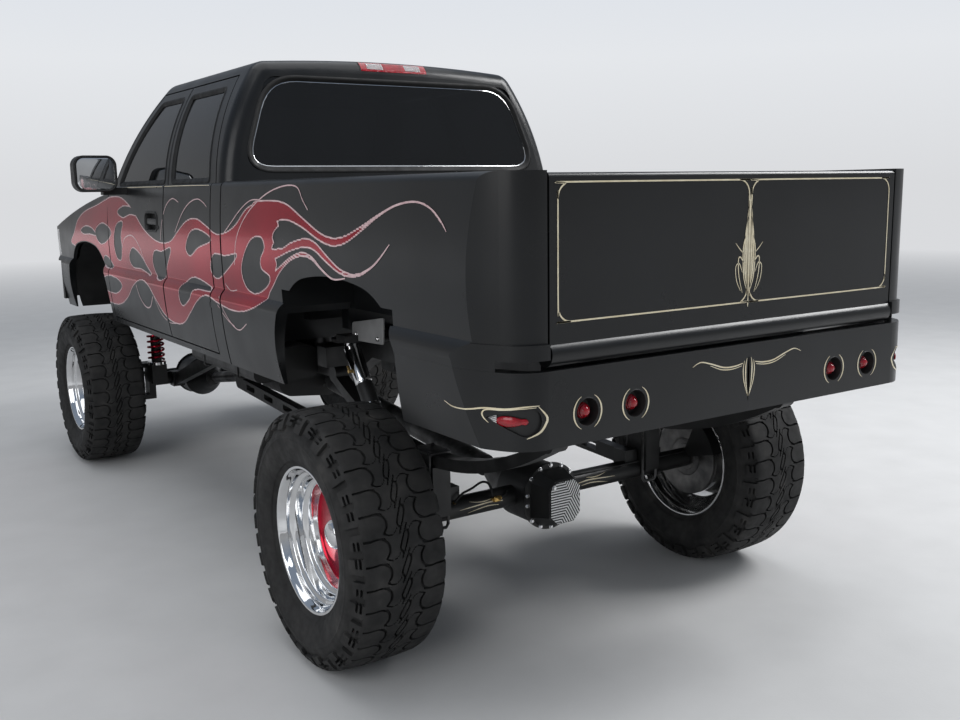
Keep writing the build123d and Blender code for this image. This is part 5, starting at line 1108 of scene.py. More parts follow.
def around_corner(u, v, out=PAINT_LIFT):
    """Point over the roll pan, u metres round it from the rear centre line."""
    side, run = (1 if u >= 0 else -1), abs(u)
    (x, y), (x2, y2) = [[np.interp(run + step, CORNER_CURVE[:, 0], CORNER_CURVE[:, k]) for k in (1, 2)]
                        for step in (0, 0.002)]
    size = math.hypot(x2 - x, y2 - y)
    x, y = x + out * (y2 - y) / size, y - out * (x2 - x) / size
    return side * min(x, side_x(v, "bed") + out), y, v


LAMP_TURN = math.radians(35)
LAMP_CENTRE = (0.86, -2.7095)
LAMP_Z = 1.095


def lamp_face(side, out=0.0):
    """Surface over a corner lamp: (t, z) along its own face, out along its axis from the skin."""
    along = np.array([math.cos(LAMP_TURN), math.sin(LAMP_TURN)])
    axis = np.array([math.sin(LAMP_TURN), -math.cos(LAMP_TURN)])
    skin = (CORNER_CURVE[:, 1:] - LAMP_CENTRE) @ np.column_stack([along, axis])

    def point(t, z, height=0.0):
        reach = np.interp(t, skin[:, 0], skin[:, 1])
        limit = (side_x(z, "bed") - LAMP_CENTRE[0] - t * along[0]) / axis[0]
        x, y = LAMP_CENTRE + t * along + (min(reach, limit) + out + height) * axis
        return side * x, y, z
    return point


# Arcs beside the round lamps: half axes in millimetres, starts and step in degrees, number of steps
PAN_ARC_HALF = (53, 55)
PAN_ARC_STARTS = (-62, 118)
PAN_ARC_STEP = 15.5
PAN_ARC_STEPS = 8


def pan_striping():
    """Ornament on the roll pan, arcs beside the round lamps and the swoosh over each corner lamp."""
    horn = (
        ((30, 1172, 1.6), (70, 1166, 2.4), (120, 1168, 2.4), (180, 1186, 2.2), (226, 1196, 1.8),
         (262, 1184, 0.8)),
        ((34, 1164, 0.8), (80, 1158, 1.6), (130, 1162, 1.6), (182, 1180, 0.8)),
    )
    spear = (
        ((0, 1190, 1), (0, 1160, 3), (0, 1120, 3.6), (0, 1076, 2), (0, 1044, 0.6)),
        ((10, 1188, 0.8), (15, 1160, 2.6), (13, 1110, 2.4), (3, 1060, 0.8)),
        ((22, 1180, 0.8), (27, 1150, 2), (22, 1110, 2), (6, 1066, 0.8)),
    )
    paths = [[(SPEAR_X + u, v, w) for u, v, w in path] for path in horn + spear]
    paths = mirrored(paths, SPEAR_X)
    for x in (side * place / MM for place in PAN_LAMP_X for side in (-1, 1)):
        for start in PAN_ARC_STARTS:
            rows = []
            for step in range(PAN_ARC_STEPS + 1):
                turn = math.radians(start + PAN_ARC_STEP * step)
                width = 0.6 + 2.2 * math.sin(math.pi * step / PAN_ARC_STEPS)
                rows.append((x + PAN_ARC_HALF[0] * math.cos(turn),
                             PAN_LAMP_Z / MM + PAN_ARC_HALF[1] * math.sin(turn), width))
            paths.append(rows)
    heap = Heap()
    for path in paths:
        heap.lay(strip(metres(path)), around_corner)
    swoosh = (
        ((192, 1125, 0.8), (168, 1115, 1.6), (144, 1115, 2.0), (106, 1122, 2.2), (68, 1130, 2.4),
         (11, 1132, 2.4), (-46, 1139, 2.2), (-89, 1141, 0.8)),
        ((58, 1088, 0.7), (72, 1101, 1.8), (76, 1115, 2.2), (63, 1126, 1.8), (20, 1128, 1.4),
         (-30, 1133, 1.2), (-80, 1136, 0.7)),
        ((-86, 1139, 0.8), (-111, 1106, 3.0), (-106, 1083, 3.4), (-89, 1062, 3.0), (-52, 1046, 0.9)),
    )
    for side, _ in SIDES:
        for path in swoosh:
            heap.lay(strip(metres(path)), lamp_face(side, PAINT_LIFT), 0, side < 0)
    heap.piece("pan_striping", CREAM, "root", "body_paint")


tailgate_striping()
pan_striping()


# Rear body with both corners rounded

def evened(name):
    """The right half of a solid and its mirror image, as one piece that stands for the solid."""
    node = nodes[name]
    source = node.data.copy()
    source.transform(node.matrix_world)
    shading = source.attributes.new("shading", "FLOAT_VECTOR", "CORNER")
    shading.data.foreach_set("vector", np.array([corner.vector for corner in source.corner_normals]).ravel())
    work = bmesh.new()
    work.from_mesh(source)
    bpy.data.meshes.remove(source)
    layer = work.loops.layers.float_vector["shading"]
    bmesh.ops.bisect_plane(work, geom=work.verts[:] + work.edges[:] + work.faces[:], dist=1e-6,
                           plane_co=(0, 0, 0), plane_no=(1, 0, 0), clear_inner=True)
    copy = bmesh.ops.duplicate(work, geom=work.verts[:] + work.edges[:] + work.faces[:])["geom"]
    for item in copy:
        if isinstance(item, bmesh.types.BMVert):
            item.co.x = -item.co.x
    turned_faces = [item for item in copy if isinstance(item, bmesh.types.BMFace)]
    bmesh.ops.reverse_faces(work, faces=turned_faces)
    for face in turned_faces:
        for corner in face.loops:
            corner[layer].x = -corner[layer].x
    bmesh.ops.remove_doubles(work, verts=work.verts[:], dist=1e-6)
    mesh = bpy.data.meshes.new(f"{name}_even")
    work.to_mesh(mesh)
    work.free()
    for holder in node.material_slots:
        mesh.materials.append(holder.material)
    mesh.polygons.foreach_set("use_smooth", [True] * len(mesh.polygons))
    mesh.normals_split_custom_set([tuple(corner.vector) for corner in mesh.attributes["shading"].data])
    mesh.attributes.remove(mesh.attributes["shading"])
    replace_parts(stand(f"{name}_even", mesh, "root"), name)


# Faces at a corner shade as one surface where their normals' product is above this
SAME_SURFACE = 0.93


def reshaded(name, body):
    """A copy of a solid with its shading worked out again from its faces, standing for the solid."""
    node = nodes[name]
    mesh = node.data.copy()
    mesh.name = f"{name}_skin"
    mesh.transform(node.matrix_world)
    count = len(mesh.polygons)
    normals, areas = np.zeros(3 * count), np.zeros(count)
    mesh.polygons.foreach_get("normal", normals)
    mesh.polygons.foreach_get("area", areas)
    normals = normals.reshape(count, 3)
    places = [tuple(round(value, 5) for value in vertex.co) for vertex in mesh.vertices]
    around = {}
    for polygon in mesh.polygons:
        for vertex in polygon.vertices:
            around.setdefault(places[vertex], []).append(polygon.index)
    corners = []
    for polygon in mesh.polygons:
        for vertex in polygon.vertices:
            near = np.array(around[places[vertex]])
            near = near[normals[near] @ normals[polygon.index] > SAME_SURFACE]
            total = (normals[near] * areas[near, None]).sum(axis=0)
            corners.append(tuple(total / np.linalg.norm(total)))
    mesh.normals_split_custom_set(corners)
    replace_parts(stand(f"{name}_skin", mesh, body), name)


evened("bed")
evened("roll_pan")
reshaded("hood", "hood")


# Lamps

def teardrop(shrink, steps=10):
    """Outline (t, z) of a corner lamp: a round end and a point, anticlockwise."""
    cx, radius = -0.052, 0.045 - shrink
    tip = (0.068 - 1.9 * shrink, LAMP_Z + 0.008)
    reach = math.dist((cx, LAMP_Z), tip)
    lean = math.atan2(tip[1] - LAMP_Z, tip[0] - cx)
    spread = math.acos(min(radius / reach, 1))
    turns = np.linspace(lean + spread, lean + 2 * math.pi - spread, 3 * steps)
    rows = [(cx + radius * math.cos(turn), LAMP_Z + radius * math.sin(turn)) for turn in turns]
    return rows + [tip]


# Lens of the corner lamp: its bullet (t, radius), points to a ring, and how far its ribs fan out
BULLET = ((0.036, 0.002), (0.03, 0.0105), (0.018, 0.015), (0.002, 0.016), (-0.014, 0.0145),
          (-0.028, 0.0112), (-0.037, 0.008), (-0.042, 0.0082), (-0.048, 0.0088), (-0.054, 0.0066),
          (-0.057, 0.002))
BULLET_RING = 20
RIB_SPREADS = (-0.44, -0.22, 0.0, 0.22, 0.44)
CUP_FLOOR = -0.0118


def corner_lamps():
    """Each corner lamp: a dark cup, a long red bullet, and a ribbed fan at its nose, clear in the real lamp
    and painted white as a painted highlight.
    """
    bullet = [(t, LAMP_Z - 0.001 + u, -0.0062 + 0.42 * v)
              for t, radius in smooth_path(BULLET, 3) for u, v in circle(radius, BULLET_RING)]
    for side, tag in SIDES:
        face = lamp_face(side)
        heap = Heap()

        def lay(outline, section, material, capped=True):
            heap.lay(banded(dense(outline, 0.006), section, capped), face, material, side < 0)

        wall = [(-0.0012, 0.0004), (0.0002, 0.0008), (0.0006, -0.003), (0.0012, CUP_FLOOR)]
        lay(teardrop(0.0004), wall, 0, False)
        for shrink in np.linspace(0.001, 0.041, 9):
            lay(teardrop(shrink), [(0, CUP_FLOOR), (0.0052, CUP_FLOOR - 0.0002)], 0, shrink > 0.04)
        heap.lay((bullet, skin(len(bullet) // BULLET_RING, BULLET_RING)), face, 1, side > 0)
        # The ribs are clear lens; their white is a painted highlight
        for spread in RIB_SPREADS:
            near = np.array([0.034, LAMP_Z + 0.0005 + 0.03 * math.sin(spread)])
            far = np.array([0.0585 - abs(spread) * 0.016, LAMP_Z + 0.0062 + 0.02 * spread])
            along = far - near
            across = np.array([-along[1], along[0]]) / np.linalg.norm(along)
            rib = [near - across * 0.0018, far - across * 0.0007,
                   far + across * 0.0007, near + across * 0.0018]
            lay(rib, [(0, CUP_FLOOR), (0, -0.005), (0.0006, -0.004)], 2)
        made = heap.piece(f"corner_lamp_{tag}", [EDGE_BLACK, LENS_RED, PAINTED_HIGHLIGHT_WHITE], "root", "lamp_red", 40)
        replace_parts(made, "tail_lamps")


def pan_lamps():
    """Round lamps of the roll pan: a dark cup with a red bullet standing in it."""
    for number, x in enumerate(sorted(side * place for side in (-1, 1) for place in PAN_LAMP_X)):
        place = face_on((x, BODY_REAR, PAN_LAMP_Z), (0, -1, 0))
        heap = Heap()
        heap.add(*banded(circle(0.044, 56), [
            (0, 0.0002), (0.0004, 0.0008), (0.0014, 0.001), (0.0026, 0.0006), (0.0032, -0.004),
            (0.006, -0.03), (0.0085, -0.0335), (0.018, -0.034)]), 0, place)
        heap.add(*banded(circle(0.0245, 40), [
            (0, -0.0338), (0.0004, -0.024), (0.002, -0.0225), (0.003, -0.018), (0.0046, -0.0172),
            (0.0056, -0.0125), (0.008, -0.0112), (0.011, -0.006), (0.015, -0.0025), (0.02, -0.001)]),
            1, place)
        made = heap.piece(f"pan_lamp_{number}", [EDGE_BLACK, LENS_RED], "root", "lamp_red", 40)
        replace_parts(made, "tail_lamps")


# Centre (y, z) of the roof's rounded rear edge, and the degrees between a pad's sections
ROOF_RING = (-0.4968, 2.3)
PAD_STEP = 4


def high_brake_lamp():
    """Lamp along the roof's rear edge: ribbed red lens, a clear cargo lamp on each side, its gasket."""
    def on_roof(x, turn, radius):
        y, z = polar(radius, math.radians(180 - turn), ROOF_RING)
        return x, y, z

    heap = Heap()

    def pad(middle, half, low, high, inner, outer, material):
        turns = np.linspace(low, high, max(2, round((high - low) / PAD_STEP) + 1))
        corners = ((-half, inner), (-half, outer), (half, outer), (half, inner))
        points = [on_roof(middle + x, turn, radius) for turn in turns for x, radius in corners]
        heap.add(points, bar(len(turns), 4), material)

    pad(0, 0.19, 14, 66, 0.07, 0.0738, 0)
    pad(0, 0.184, 18, 62, 0.072, 0.0752, 1)
    for x in (-0.106, 0.106):
        pad(x, 0.044, 26, 55, 0.074, 0.0766, 2)
        for turn in range(28, 54, 4):
            pad(x, 0.042, turn, turn + 1.6, 0.076, 0.0771, 2)
    for turn in np.arange(6) * 6.2 + 24:
        pad(0, 0.056, turn, turn + 3.4, 0.0745, 0.0762, 1)
    made = heap.piece("high_brake_lamp", [SEAL, LENS_RED, LENS_CLEAR], "root", "lamp_red", 30)
    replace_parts(made, "tail_lamps")


corner_lamps()
pan_lamps()
high_brake_lamp()


# Windows, seals, handles and mirrors

# The glasshouse's side: three points (x, z) of its arc
GLASSHOUSE = ((0.932, 1.74), (0.867968, 2.03976), (0.7, 2.349))
DOOR_WINDOWS = {
    "front": ((0.2415, 1.803), (1.1172, 1.803), (0.6806, 2.242), (0.2965, 2.242)),
    "rear": ((-0.4395, 1.803), (0.1295, 1.803), (0.1845, 2.242), (-0.3245, 2.242)),
}


def cab_side(side):
    """Surface of the glasshouse's side, over (y, z)."""
    return lambda y, z, out=0.0: (side * (arc_x(z, *GLASSHOUSE) + out), y, z)


def rear_wall(x, z, out=0.0):
    """Surface of the cab's rear, over (x, z)."""
    return x, -0.6525 + 0.018 * (x / 0.932) ** 2 + (z - 1.74) * math.tan(math.radians(8.2)) - out, z


def screen_face(x, z, out=0.0):
    """Surface of the windscreen, over (x, z)."""
    lean = math.radians(42)
    y = 1.3255 + 0.15 * (1 - (x / 0.932) ** 2) - (z - 1.74) / math.tan(lean)
    return x, y + out * math.sin(lean), z + out * math.cos(lean)


SEAL_SECTION = [(-0.009, -0.001), (-0.009, 0.0012), (-0.006, 0.003), (0.001, 0.003), (0.006, 0.0),
                (0.017, -0.007), (0.019, -0.0095)]
EDGE_SECTION = [(0.0185, -0.0095), (0.0185, -0.0078), (0.0205, -0.0074), (0.0225, -0.009)]


def window_seals():
    """Rubber seals round every window, with an edge line on the rear glass and the windscreen."""
    for row, corners in DOOR_WINDOWS.items():
        seal = banded(dense(softened(corners, 0.03, 5, True)), SEAL_SECTION, False)
        for side, tag in SIDES:
            heap = Heap().lay(seal, cab_side(side), 0, side < 0)
            heap.piece(f"window_seal_{row}_{tag}", SEAL, f"door_{row}_{tag}", "trim_black", 50)
    for name, half_low, half_high, low, high, face, line in (
        ("rear_glass", 0.831, 0.679, 1.847, 2.278, rear_wall, CHROME),
        ("windscreen", 0.8, 0.64, 1.825, 2.263, screen_face, TRIM),
    ):
        corners = ((-half_low, low), (half_low, low), (half_high, high), (-half_high, high))
        outline = dense(softened(corners, 0.154, 7, True))
        heap = Heap()
        for number, section in enumerate((SEAL_SECTION, EDGE_SECTION)):
            heap.lay(banded(outline, section, False), face, number, face is screen_face)
        heap.piece(f"{name}_seal", [SEAL, line], "root", "trim_black", 50)


BELTS = (
    ("belt_line", "front", ((0.205, 1.786, 0.0014), (0.5, 1.7875, 0.0016), (0.9, 1.7875, 0.0016),
                            (1.175, 1.786, 0.001))),
    ("belt_line_rear", "rear", ((-0.505, 1.786, 0.001), (-0.2, 1.7875, 0.0014), (0.165, 1.7875, 0.0014))),
)


def belt_lines():
    """Bright line along the belt of each door."""
    for side, tag in SIDES:
        for name, row, path in BELTS:
            heap = Heap().lay(strip(path, 10), body_side(side, "cab", PAINT_LIFT), 0, side > 0)
            heap.piece(f"{name}_{tag}", CREAM, f"door_{row}_{tag}", "body_paint")


# Middle (y, z) of a door handle's recess
HANDLE = (0.4005, 1.605)


def handles():
    """Front door handles: dark bezel round the recess, dark cup, satin black lever and a lock."""
    mouth = banded(dense(rounded(0.105, 0.044, 0.03, 6, HANDLE), 0.02), [
        (-0.011, -0.002), (-0.011, 0.0016), (-0.008, 0.0036), (-0.001, 0.0036), (0.0018, 0.0),
        (0.0022, -0.033)], False)
    lock = banded(circle(0.0105, 20, (HANDLE[0] - 0.128, HANDLE[1] - 0.028)), [
        (0, -0.001), (0, 0.0016), (0.0012, 0.0024), (0.004, 0.002), (0.0046, 0.0008)])
    for side, tag in SIDES:
        heap = Heap().lay(mouth, body_side(side), 0, side < 0)
        cup, lever = (face_on((side * x, *HANDLE), (side, 0, 0)) for x in (0.9342, 0.948))
        heap.add(*banded(rounded(0.1028, 0.0418, 0.028, 6), [(0, 0), (0, 0.0006), (0.004, 0.0008)]), 0, cup)
        heap.add(*banded(rounded(0.0866, 0.0176, 0.0125, 6), [
            (0.0, -0.0008), (0, 0.0105), (0.0015, 0.0128), (0.006, 0.0145), (0.012, 0.015)]), 1, lever)
        heap.lay(lock, body_side(side), 1, side < 0)
        heap.piece(f"door_handle_{tag}", [TRIM, EDGE_BLACK], f"door_front_{tag}", "trim_black", 40)


def mirror_glasses():
    """Mirror of each door: bevelled glass that faces rearward in a dark frame."""
    for side, tag in SIDES:
        place = face_on((side * 1.125, 0.8305, 1.865), (0, -1, 0))
        heap = Heap()
        heap.add(*banded(rounded(0.1135, 0.0985, 0.053, 8), [
            (0.001, -0.002), (0.0, 0.002), (0.0016, 0.0052), (0.006, 0.006), (0.0105, 0.004),
            (0.0125, 0.0004)], False), 0, place)
        heap.add(*banded(rounded(0.101, 0.086, 0.042, 8), [
            (0, 0.0002), (0.0006, 0.002), (0.005, 0.003), (0.0056, 0.0031)]), 1, place)
        heap.piece(f"mirror_glass_{tag}", [TRIM, MIRROR], f"door_front_{tag}", "polished", 25)


window_seals()
belt_lines()
handles()
mirror_glasses()


# Rear axle: painted highlights on the fin crests, bolts, lines and striping

HOUSING_X = -0.05
COVER_FACE_Y = -1.9715
FIN_CENTRE = (-0.018, 0.503)
FIN_PITCH = 0.011
CREST_WIDTH = 0.006
# How far the painted crest highlights stand off the cover's face
HIGHLIGHT_LIFT = 0.0005
TUBE_RADIUS = 0.044


def clipped(polygon, walls):
    """A convex polygon cut by half planes (normal u, normal v, limit)."""
    for nu, nv, limit in walls:
        polygon = trimmed(polygon, lambda row: limit - row[0] * nu - row[1] * nv) if len(polygon) > 2 else []
    return polygon


def cover_walls(half_u, half_v, chamfer, margin):
    """Half planes of the cover's octagon, about the housing."""
    walls = []
    slant = (half_u + half_v - chamfer) / math.sqrt(2)
    for su in (-1, 1):
        walls.append((su, 0, half_u - margin + su * HOUSING_X))
        walls.append((0, su, half_v - margin + su * AXLE_Z))
        for sv in (-1, 1):
            nu, nv = su / math.sqrt(2), sv / math.sqrt(2)
            walls.append((nu, nv, slant - margin + nu * HOUSING_X + nv * AXLE_Z))
    return walls


def fin_tops():
    """Painted highlight on the crests of the cover's folded fins: white where their polished metal catches
    the light.
    """
    walls = cover_walls(0.08, 0.092, 0.034, 0.005)
    heap = Heap()
    rise, half = math.sin(math.radians(60)), CREST_WIDTH / 2
    for fold in (120.0, 0.0, -120.0):
        for row in range(18):
            distance = (row + 0.5) * FIN_PITCH
            for arm in (fold + 60, fold - 60):
                corners = []
                for across, reach in ((1, 0), (1, 0.3), (-1, 0.3), (-1, 0)):
                    apex = polar((distance + across * half) / rise, math.radians(fold), FIN_CENTRE)
                    corners.append(polar(reach, math.radians(arm), apex))
                if sum(a[0] * b[1] - b[0] * a[1] for a, b in zip(corners, corners[1:] + corners[:1])) < 0:
                    corners = corners[::-1]
                outline = clipped(corners, walls)
                if len(outline) > 2:
                    # Each crest is a flat white strip, a painted highlight just off the cover
                    crest = [(u, COVER_FACE_Y - HIGHLIGHT_LIFT, v) for u, v in outline]
                    heap.add(crest, [tuple(range(len(crest)))])
    heap.piece("cover_fin_tops", PAINTED_HIGHLIGHT_WHITE, "root", "polished")


def axle_tube_face(x, turn, out=0.0):
    """Point over the axle tube; turn in degrees up from straight rearward."""
    y, z = polar(TUBE_RADIUS + out, math.radians(180 - turn), (REAR_AXLE_Y, AXLE_Z))
    return x, y, z


def axle_bolts():
    """Bolts round both axles' covers, and the rear one's filler plug."""
    bolts = Heap()
    for turn in [*range(42, 139, 24), *range(222, 319, 24), 10, -10, 170, 190]:
        angle = math.radians(turn)
        x, z = polar(0.1335 if abs(math.cos(angle)) < 0.86 else 0.122, angle, (HOUSING_X, AXLE_Z))
        add_bolt(bolts, face_on((x, REAR_AXLE_Y - 0.107, z), (0, -1, 0)), 0.0075, 0.008)
    for x, z in circle(0.134, 10, (-0.27, AXLE_Z)):
        add_bolt(bolts, face_on((x, FRONT_AXLE_Y + 0.0955, z), (0, 1, 0)), 0.0075, 0.008)
    plug = face_on((HOUSING_X - 0.055, COVER_FACE_Y + 0.006, AXLE_Z + 0.066), (0, -1, 0))
    add_bolt(bolts, plug, 0.008, 0.008)
    bolts.piece("axle_cover_bolts", POLISHED, "root", "polished", 30)


def leaf_clamps():
    """U-bolts that hold the rear axle to its springs, with the plate and nuts on top."""
    clamps = Heap()
    for side, _ in SIDES:
        for y in (REAR_AXLE_Y - 0.052, REAR_AXLE_Y + 0.052):
            path = [(side * x, y, z) for x, z in (
                (0.521, 0.752), (0.521, 0.56), (0.521, 0.445), (0.53, 0.432),
                (0.59, 0.432), (0.599, 0.445), (0.599, 0.56), (0.599, 0.752))]
            clamps.add(*tube(path, 0.0065, 8))
            for x in (0.521, 0.599):
                add_bolt(clamps, at(side * x, y, 0.7395), 0.0095, 0.01)
        top = at(side * 0.56, REAR_AXLE_Y, 0.7375)
        clamps.add(*plate(rounded(0.048, 0.072, 0.008), 0.01, 0.002), 0, top)
    clamps.piece("leaf_u_bolts", STEEL_GREY, "root", "grey_steel", 35)


def brake_plumbing():
    """The hose to the rear axle, its brass tee and ends, and the steel lines over the tube."""
    hose = smooth_path([(-0.478, -1.797, 0.517), (-0.47, -1.803, 0.53), (-0.44, -1.8, 0.55),
                        (-0.397, -1.8, 0.562), (-0.35, -1.8, 0.58), (-0.318, -1.8, 0.572),
                        (-0.302, -1.8, 0.545), (-0.3, -1.806, 0.516), (-0.292, -1.808, 0.504)], 6)
    Heap().add(*tube(hose, 0.005, 10)).piece("rear_brake_hose", SEAL, "root", "trim_black", 40)
    fittings = Heap()
    fittings.add(*plate(rounded(0.016, 0.011, 0.002), 0.016, 0.002), 0,
                 face_on((-0.283, REAR_AXLE_Y - 0.04, 0.5), (0, -1, 0.2)))
    for path, radius in (
        ([(-0.308, -1.8095, 0.5025), (-0.296, -1.8095, 0.5025)], 0.0065),
        ([(-0.27, -1.8095, 0.5025), (-0.258, -1.8095, 0.5025)], 0.0065),
        ([(-0.4785, -1.788, 0.512), (-0.4775, -1.799, 0.52)], 0.0078),
    ):
        fittings.add(*tube(path, radius, 6))
    fittings.piece("brass_fittings", BRASS, "root", "polished", 30)
    lines = Heap()
    for path in (
        [(-0.262, -1.8095, 0.5025), (-0.235, -1.806, 0.509), (-0.215, -1.795, 0.522)],
        [axle_tube_face(x, 52, 0.0025) for x in (-0.482, -0.52, -0.6, -0.7, -0.8)],
        [axle_tube_face(x, 52, 0.0025) for x in (0.105, 0.3, 0.5, 0.65, 0.8)],
    ):
        lines.add(*tube(smooth_path(path, 4), 0.0028, 8))
    lines.piece("rear_brake_lines", STEEL_GREY, "root", "grey_steel", 40)


# Strokes on the axle tube: rows (distance from the housing, turn up in degrees, half width)
TUBE_STROKES = (
    ((0.0, 4, 0.0018), (0.06, 10, 0.0026), (0.13, 6, 0.0022), (0.21, 0, 0.0006)),
    ((0.02, -14, 0.001), (0.07, -8, 0.0022), (0.12, -14, 0.002), (0.17, -26, 0.0006)),
    ((0.05, 26, 0.0008), (0.09, 20, 0.0018), (0.13, 24, 0.0012), (0.16, 34, 0.0006)),
)


def axle_striping():
    """Cream strokes on the axle tube, out from the housing."""
    def on_tube(x, run):
        return axle_tube_face(x, math.degrees(run / TUBE_RADIUS), PAINT_LIFT)

    strokes = Heap()
    for side, _ in SIDES:
        for rows in TUBE_STROKES:
            path = [(HOUSING_X + side * (0.2 + along), math.radians(turn) * TUBE_RADIUS, half)
                    for along, turn, half in rows]
            strokes.lay(strip(path), on_tube)
    strokes.piece("axle_striping", CREAM, "root", "body_paint")


fin_tops()
axle_bolts()
leaf_clamps()
brake_plumbing()
axle_striping()


# Wheel wells: shocks, brackets and springs

# Ends (y, z) of a rear shock's line
SHOCK_LOW = (-1.6695, 0.56)
SHOCK_HIGH = (-1.2445, 1.12)
PLATE_X = 0.614
COIL_TURNS = 8
COIL_STEPS = 28


def on_shock(side, share, out=0.0):
    """Centre of a rear shock at a share of its length from the axle."""
    (y1, z1), (y2, z2) = SHOCK_LOW, SHOCK_HIGH
    return side * (0.64 + out), y1 + (y2 - y1) * share, z1 + (z2 - z1) * share


def shocks():
    """Rear shocks: polished rod, dark body with a bright can, rings and the brass valve beside it."""
    for side, tag in SIDES:
        heap = Heap()
        heap.add(*tube([on_shock(side, 0.055), on_shock(side, 0.445)], 0.016, 20), 1)
        heap.add(*tube([on_shock(side, t) for t in (0.452, 0.46, 0.47, 0.7, 0.705)],
                       [0.026, 0.0352, 0.0356, 0.0356, 0.0346], 28), 1)
        heap.add(*tube([on_shock(side, t) for t in (0.712, 0.716, 0.73, 0.925, 0.94)],
                       [0.0346, 0.0362, 0.0366, 0.0366, 0.03], 28), 0)
        for share in (0.5, 0.56):
            heap.add(*tube([on_shock(side, share), on_shock(side, share + 0.008)], 0.0378, 28), 0)
        x, y, z = on_shock(side, 0.8, 0.044)
        heap.add(*tube([(x - side * 0.01, y, z), (x + side * 0.008, y, z)], 0.0085, 6), 2)
        heap.add(*tube([(x + side * 0.002, y, z), (x + side * 0.002, y + 0.016, z + 0.02)], 0.005, 8), 2)
        heap.piece(f"rear_shock_detail_{tag}", [POLISHED, TRIM, BRASS], "root", "polished", 35)


def well_brackets():
    """Grey plate in each rear wheel well, on two bolted standoffs from the rail."""
    for side, tag in SIDES:
        heap = Heap()
        corners = ((-1.237, 1.201), (-1.514, 1.245), (-1.506, 1.134), (-1.23, 1.123))
        outline = softened(corners, 0.012, 4, True)
        for section, flip in (([(0, 0), (0, 0.0045), (0.0012, 0.006)], side > 0),
                              ([(0, 0), (0.02, 0)], False)):
            heap.lay(banded(outline, section), lambda y, z, out: (side * (PLATE_X + out), y, z), 0, flip)
        for y in (-1.275, -1.465):
            heap.add(*tube([(side * 0.478, y, 1.152), (side * 0.616, y, 1.152)], 0.011, 12), 1)
            add_bolt(heap, face_on((side * 0.62, y, 1.152), (side, 0, 0)), 0.0085, 0.008, 2)
        heap.piece(f"well_plate_{tag}", [GREY_PAINT, CHASSIS, POLISHED], "root", "grey_steel", 35)


def coil_springs():
    """Front coilovers: damper, seats and a real helical spring."""
    for side, tag in SIDES:
        heap = Heap()
        x, y = side * 0.6, FRONT_AXLE_Y - 0.125
        lower, upper = at(x, y, 0.6103), at(x, y, 0.9405)
        under = face_on((x, y, 0.9405), (0, 0, -1), (0, 1, 0))
        for section, place in (
            ([(0, 0), (0, 0.017), (0.003, 0.0195)], lower),
            ([(0.003, 0), (0, 0.002), (0, 0.016), (0.012, 0.0195)], upper),
            ([(0.003, 0), (0.02, 0.0005)], under),
        ):
            heap.add(*banded(circle(0.06, 40), section), 0, place)
        for stations in (((0.628, 0.033), (0.8, 0.033), (0.802, 0.016), (0.96, 0.016)),
                         ((0.955, 0.03), (0.958, 0.036), (1.13, 0.036), (1.155, 0.026))):
            heap.add(*tube([(x, y, z) for z, _ in stations], [radius for _, radius in stations], 24), 1)
        coil = []
        for step in range(COIL_TURNS * COIL_STEPS + 1):
            u, v = polar(0.05, 2 * math.pi * step / COIL_STEPS, (x, y))
            coil.append((u, v, 0.6385 + 0.294 * step / (COIL_TURNS * COIL_STEPS)))
        heap.add(*tube(coil, 0.0078, 10), 2)
        made = heap.piece(f"coilover_{tag}", [POLISHED, TRIM, CANDY], "root", "polished", 35)
        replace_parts(made, "coilovers")


shocks()
well_brackets()
coil_springs()


# Seats: name, x, half width, y of the cushion, how far the back leans

SEAT_LOW = 1.0903
SEATS = (
    ("seat_left", -0.4, 0.25, 0.6055, 0.06),
    ("seat_right", 0.4, 0.25, 0.6055, 0.06),
    ("bench", 0.0, 0.64, -0.3225, 0.01),
)
COVER_VOXEL = 0.01
CLOTH_FRAMES = 20
CUSHION_CAP = 0.024
COVER_ROOM = 0.012
CHANNEL_DEPTH = 0.006
CHANNEL_WIDTH = 0.01


def blown_cover(name, half):
    """Cover of a cushion about its centre: a soft block, remeshed, then swollen as cloth under pressure."""
    hx, hy, hz = half
    block = Heap()
    points, faces = banded(dense(rounded(hx, hy, 0.05), 0.05), [
        (0.03, -hz), (0.008, -hz * 0.8), (0, -hz * 0.3), (0, hz * 0.3), (0.008, hz * 0.8), (0.03, hz)])
    block.add(points, faces + [tuple(range(len(faces[-1])))[::-1]])
    cells = {"mode": "VOXEL", "voxel_size": COVER_VOXEL}
    start = modified(name, block.mesh(name, CLOTH), ("REMESH", cells))
    holder = linked(name, start)
    cloth = holder.modifiers.new("cover", "CLOTH")
    cloth.settings.quality = 4
    cloth.settings.use_pressure = True
    cloth.settings.uniform_pressure_force = 4.0
    cloth.settings.effector_weights.gravity = 0
    cloth.collision_settings.use_collision = False
    cloth.point_cache.frame_start, cloth.point_cache.frame_end = 1, CLOTH_FRAMES
    for step in range(1, CLOTH_FRAMES + 1):
        bpy.context.scene.frame_set(step)
    swollen = evaluated(holder)
    bpy.context.scene.frame_set(1)
    before, after = (np.array([tuple(vertex.co) for vertex in mesh.vertices]) for mesh in (start, swollen))
    size = np.linalg.norm(after - before, axis=1, keepdims=True)
    after = before + (after - before) * np.minimum(1, CUSHION_CAP / np.maximum(size, 1e-9))
    after = np.clip(after, -np.array(half) - COVER_ROOM, np.array(half) + COVER_ROOM)
    swollen.vertices.foreach_set("co", after.ravel())
    swollen.update()
    bpy.data.objects.remove(holder)
    return swollen


def stitched(mesh, lines):
    """Sewn channels pressed into the upper face of a cover, across its local x at each line."""
    rows = np.array([tuple(vertex.co) for vertex in mesh.vertices])
    for line in lines:
        near = np.exp(-((rows[:, 0] - line) / CHANNEL_WIDTH) ** 2) * (rows[:, 2] > 0)
        rows[:, 2] -= CHANNEL_DEPTH * near
    mesh.vertices.foreach_set("co", rows.ravel())
    mesh.update()
    return mesh


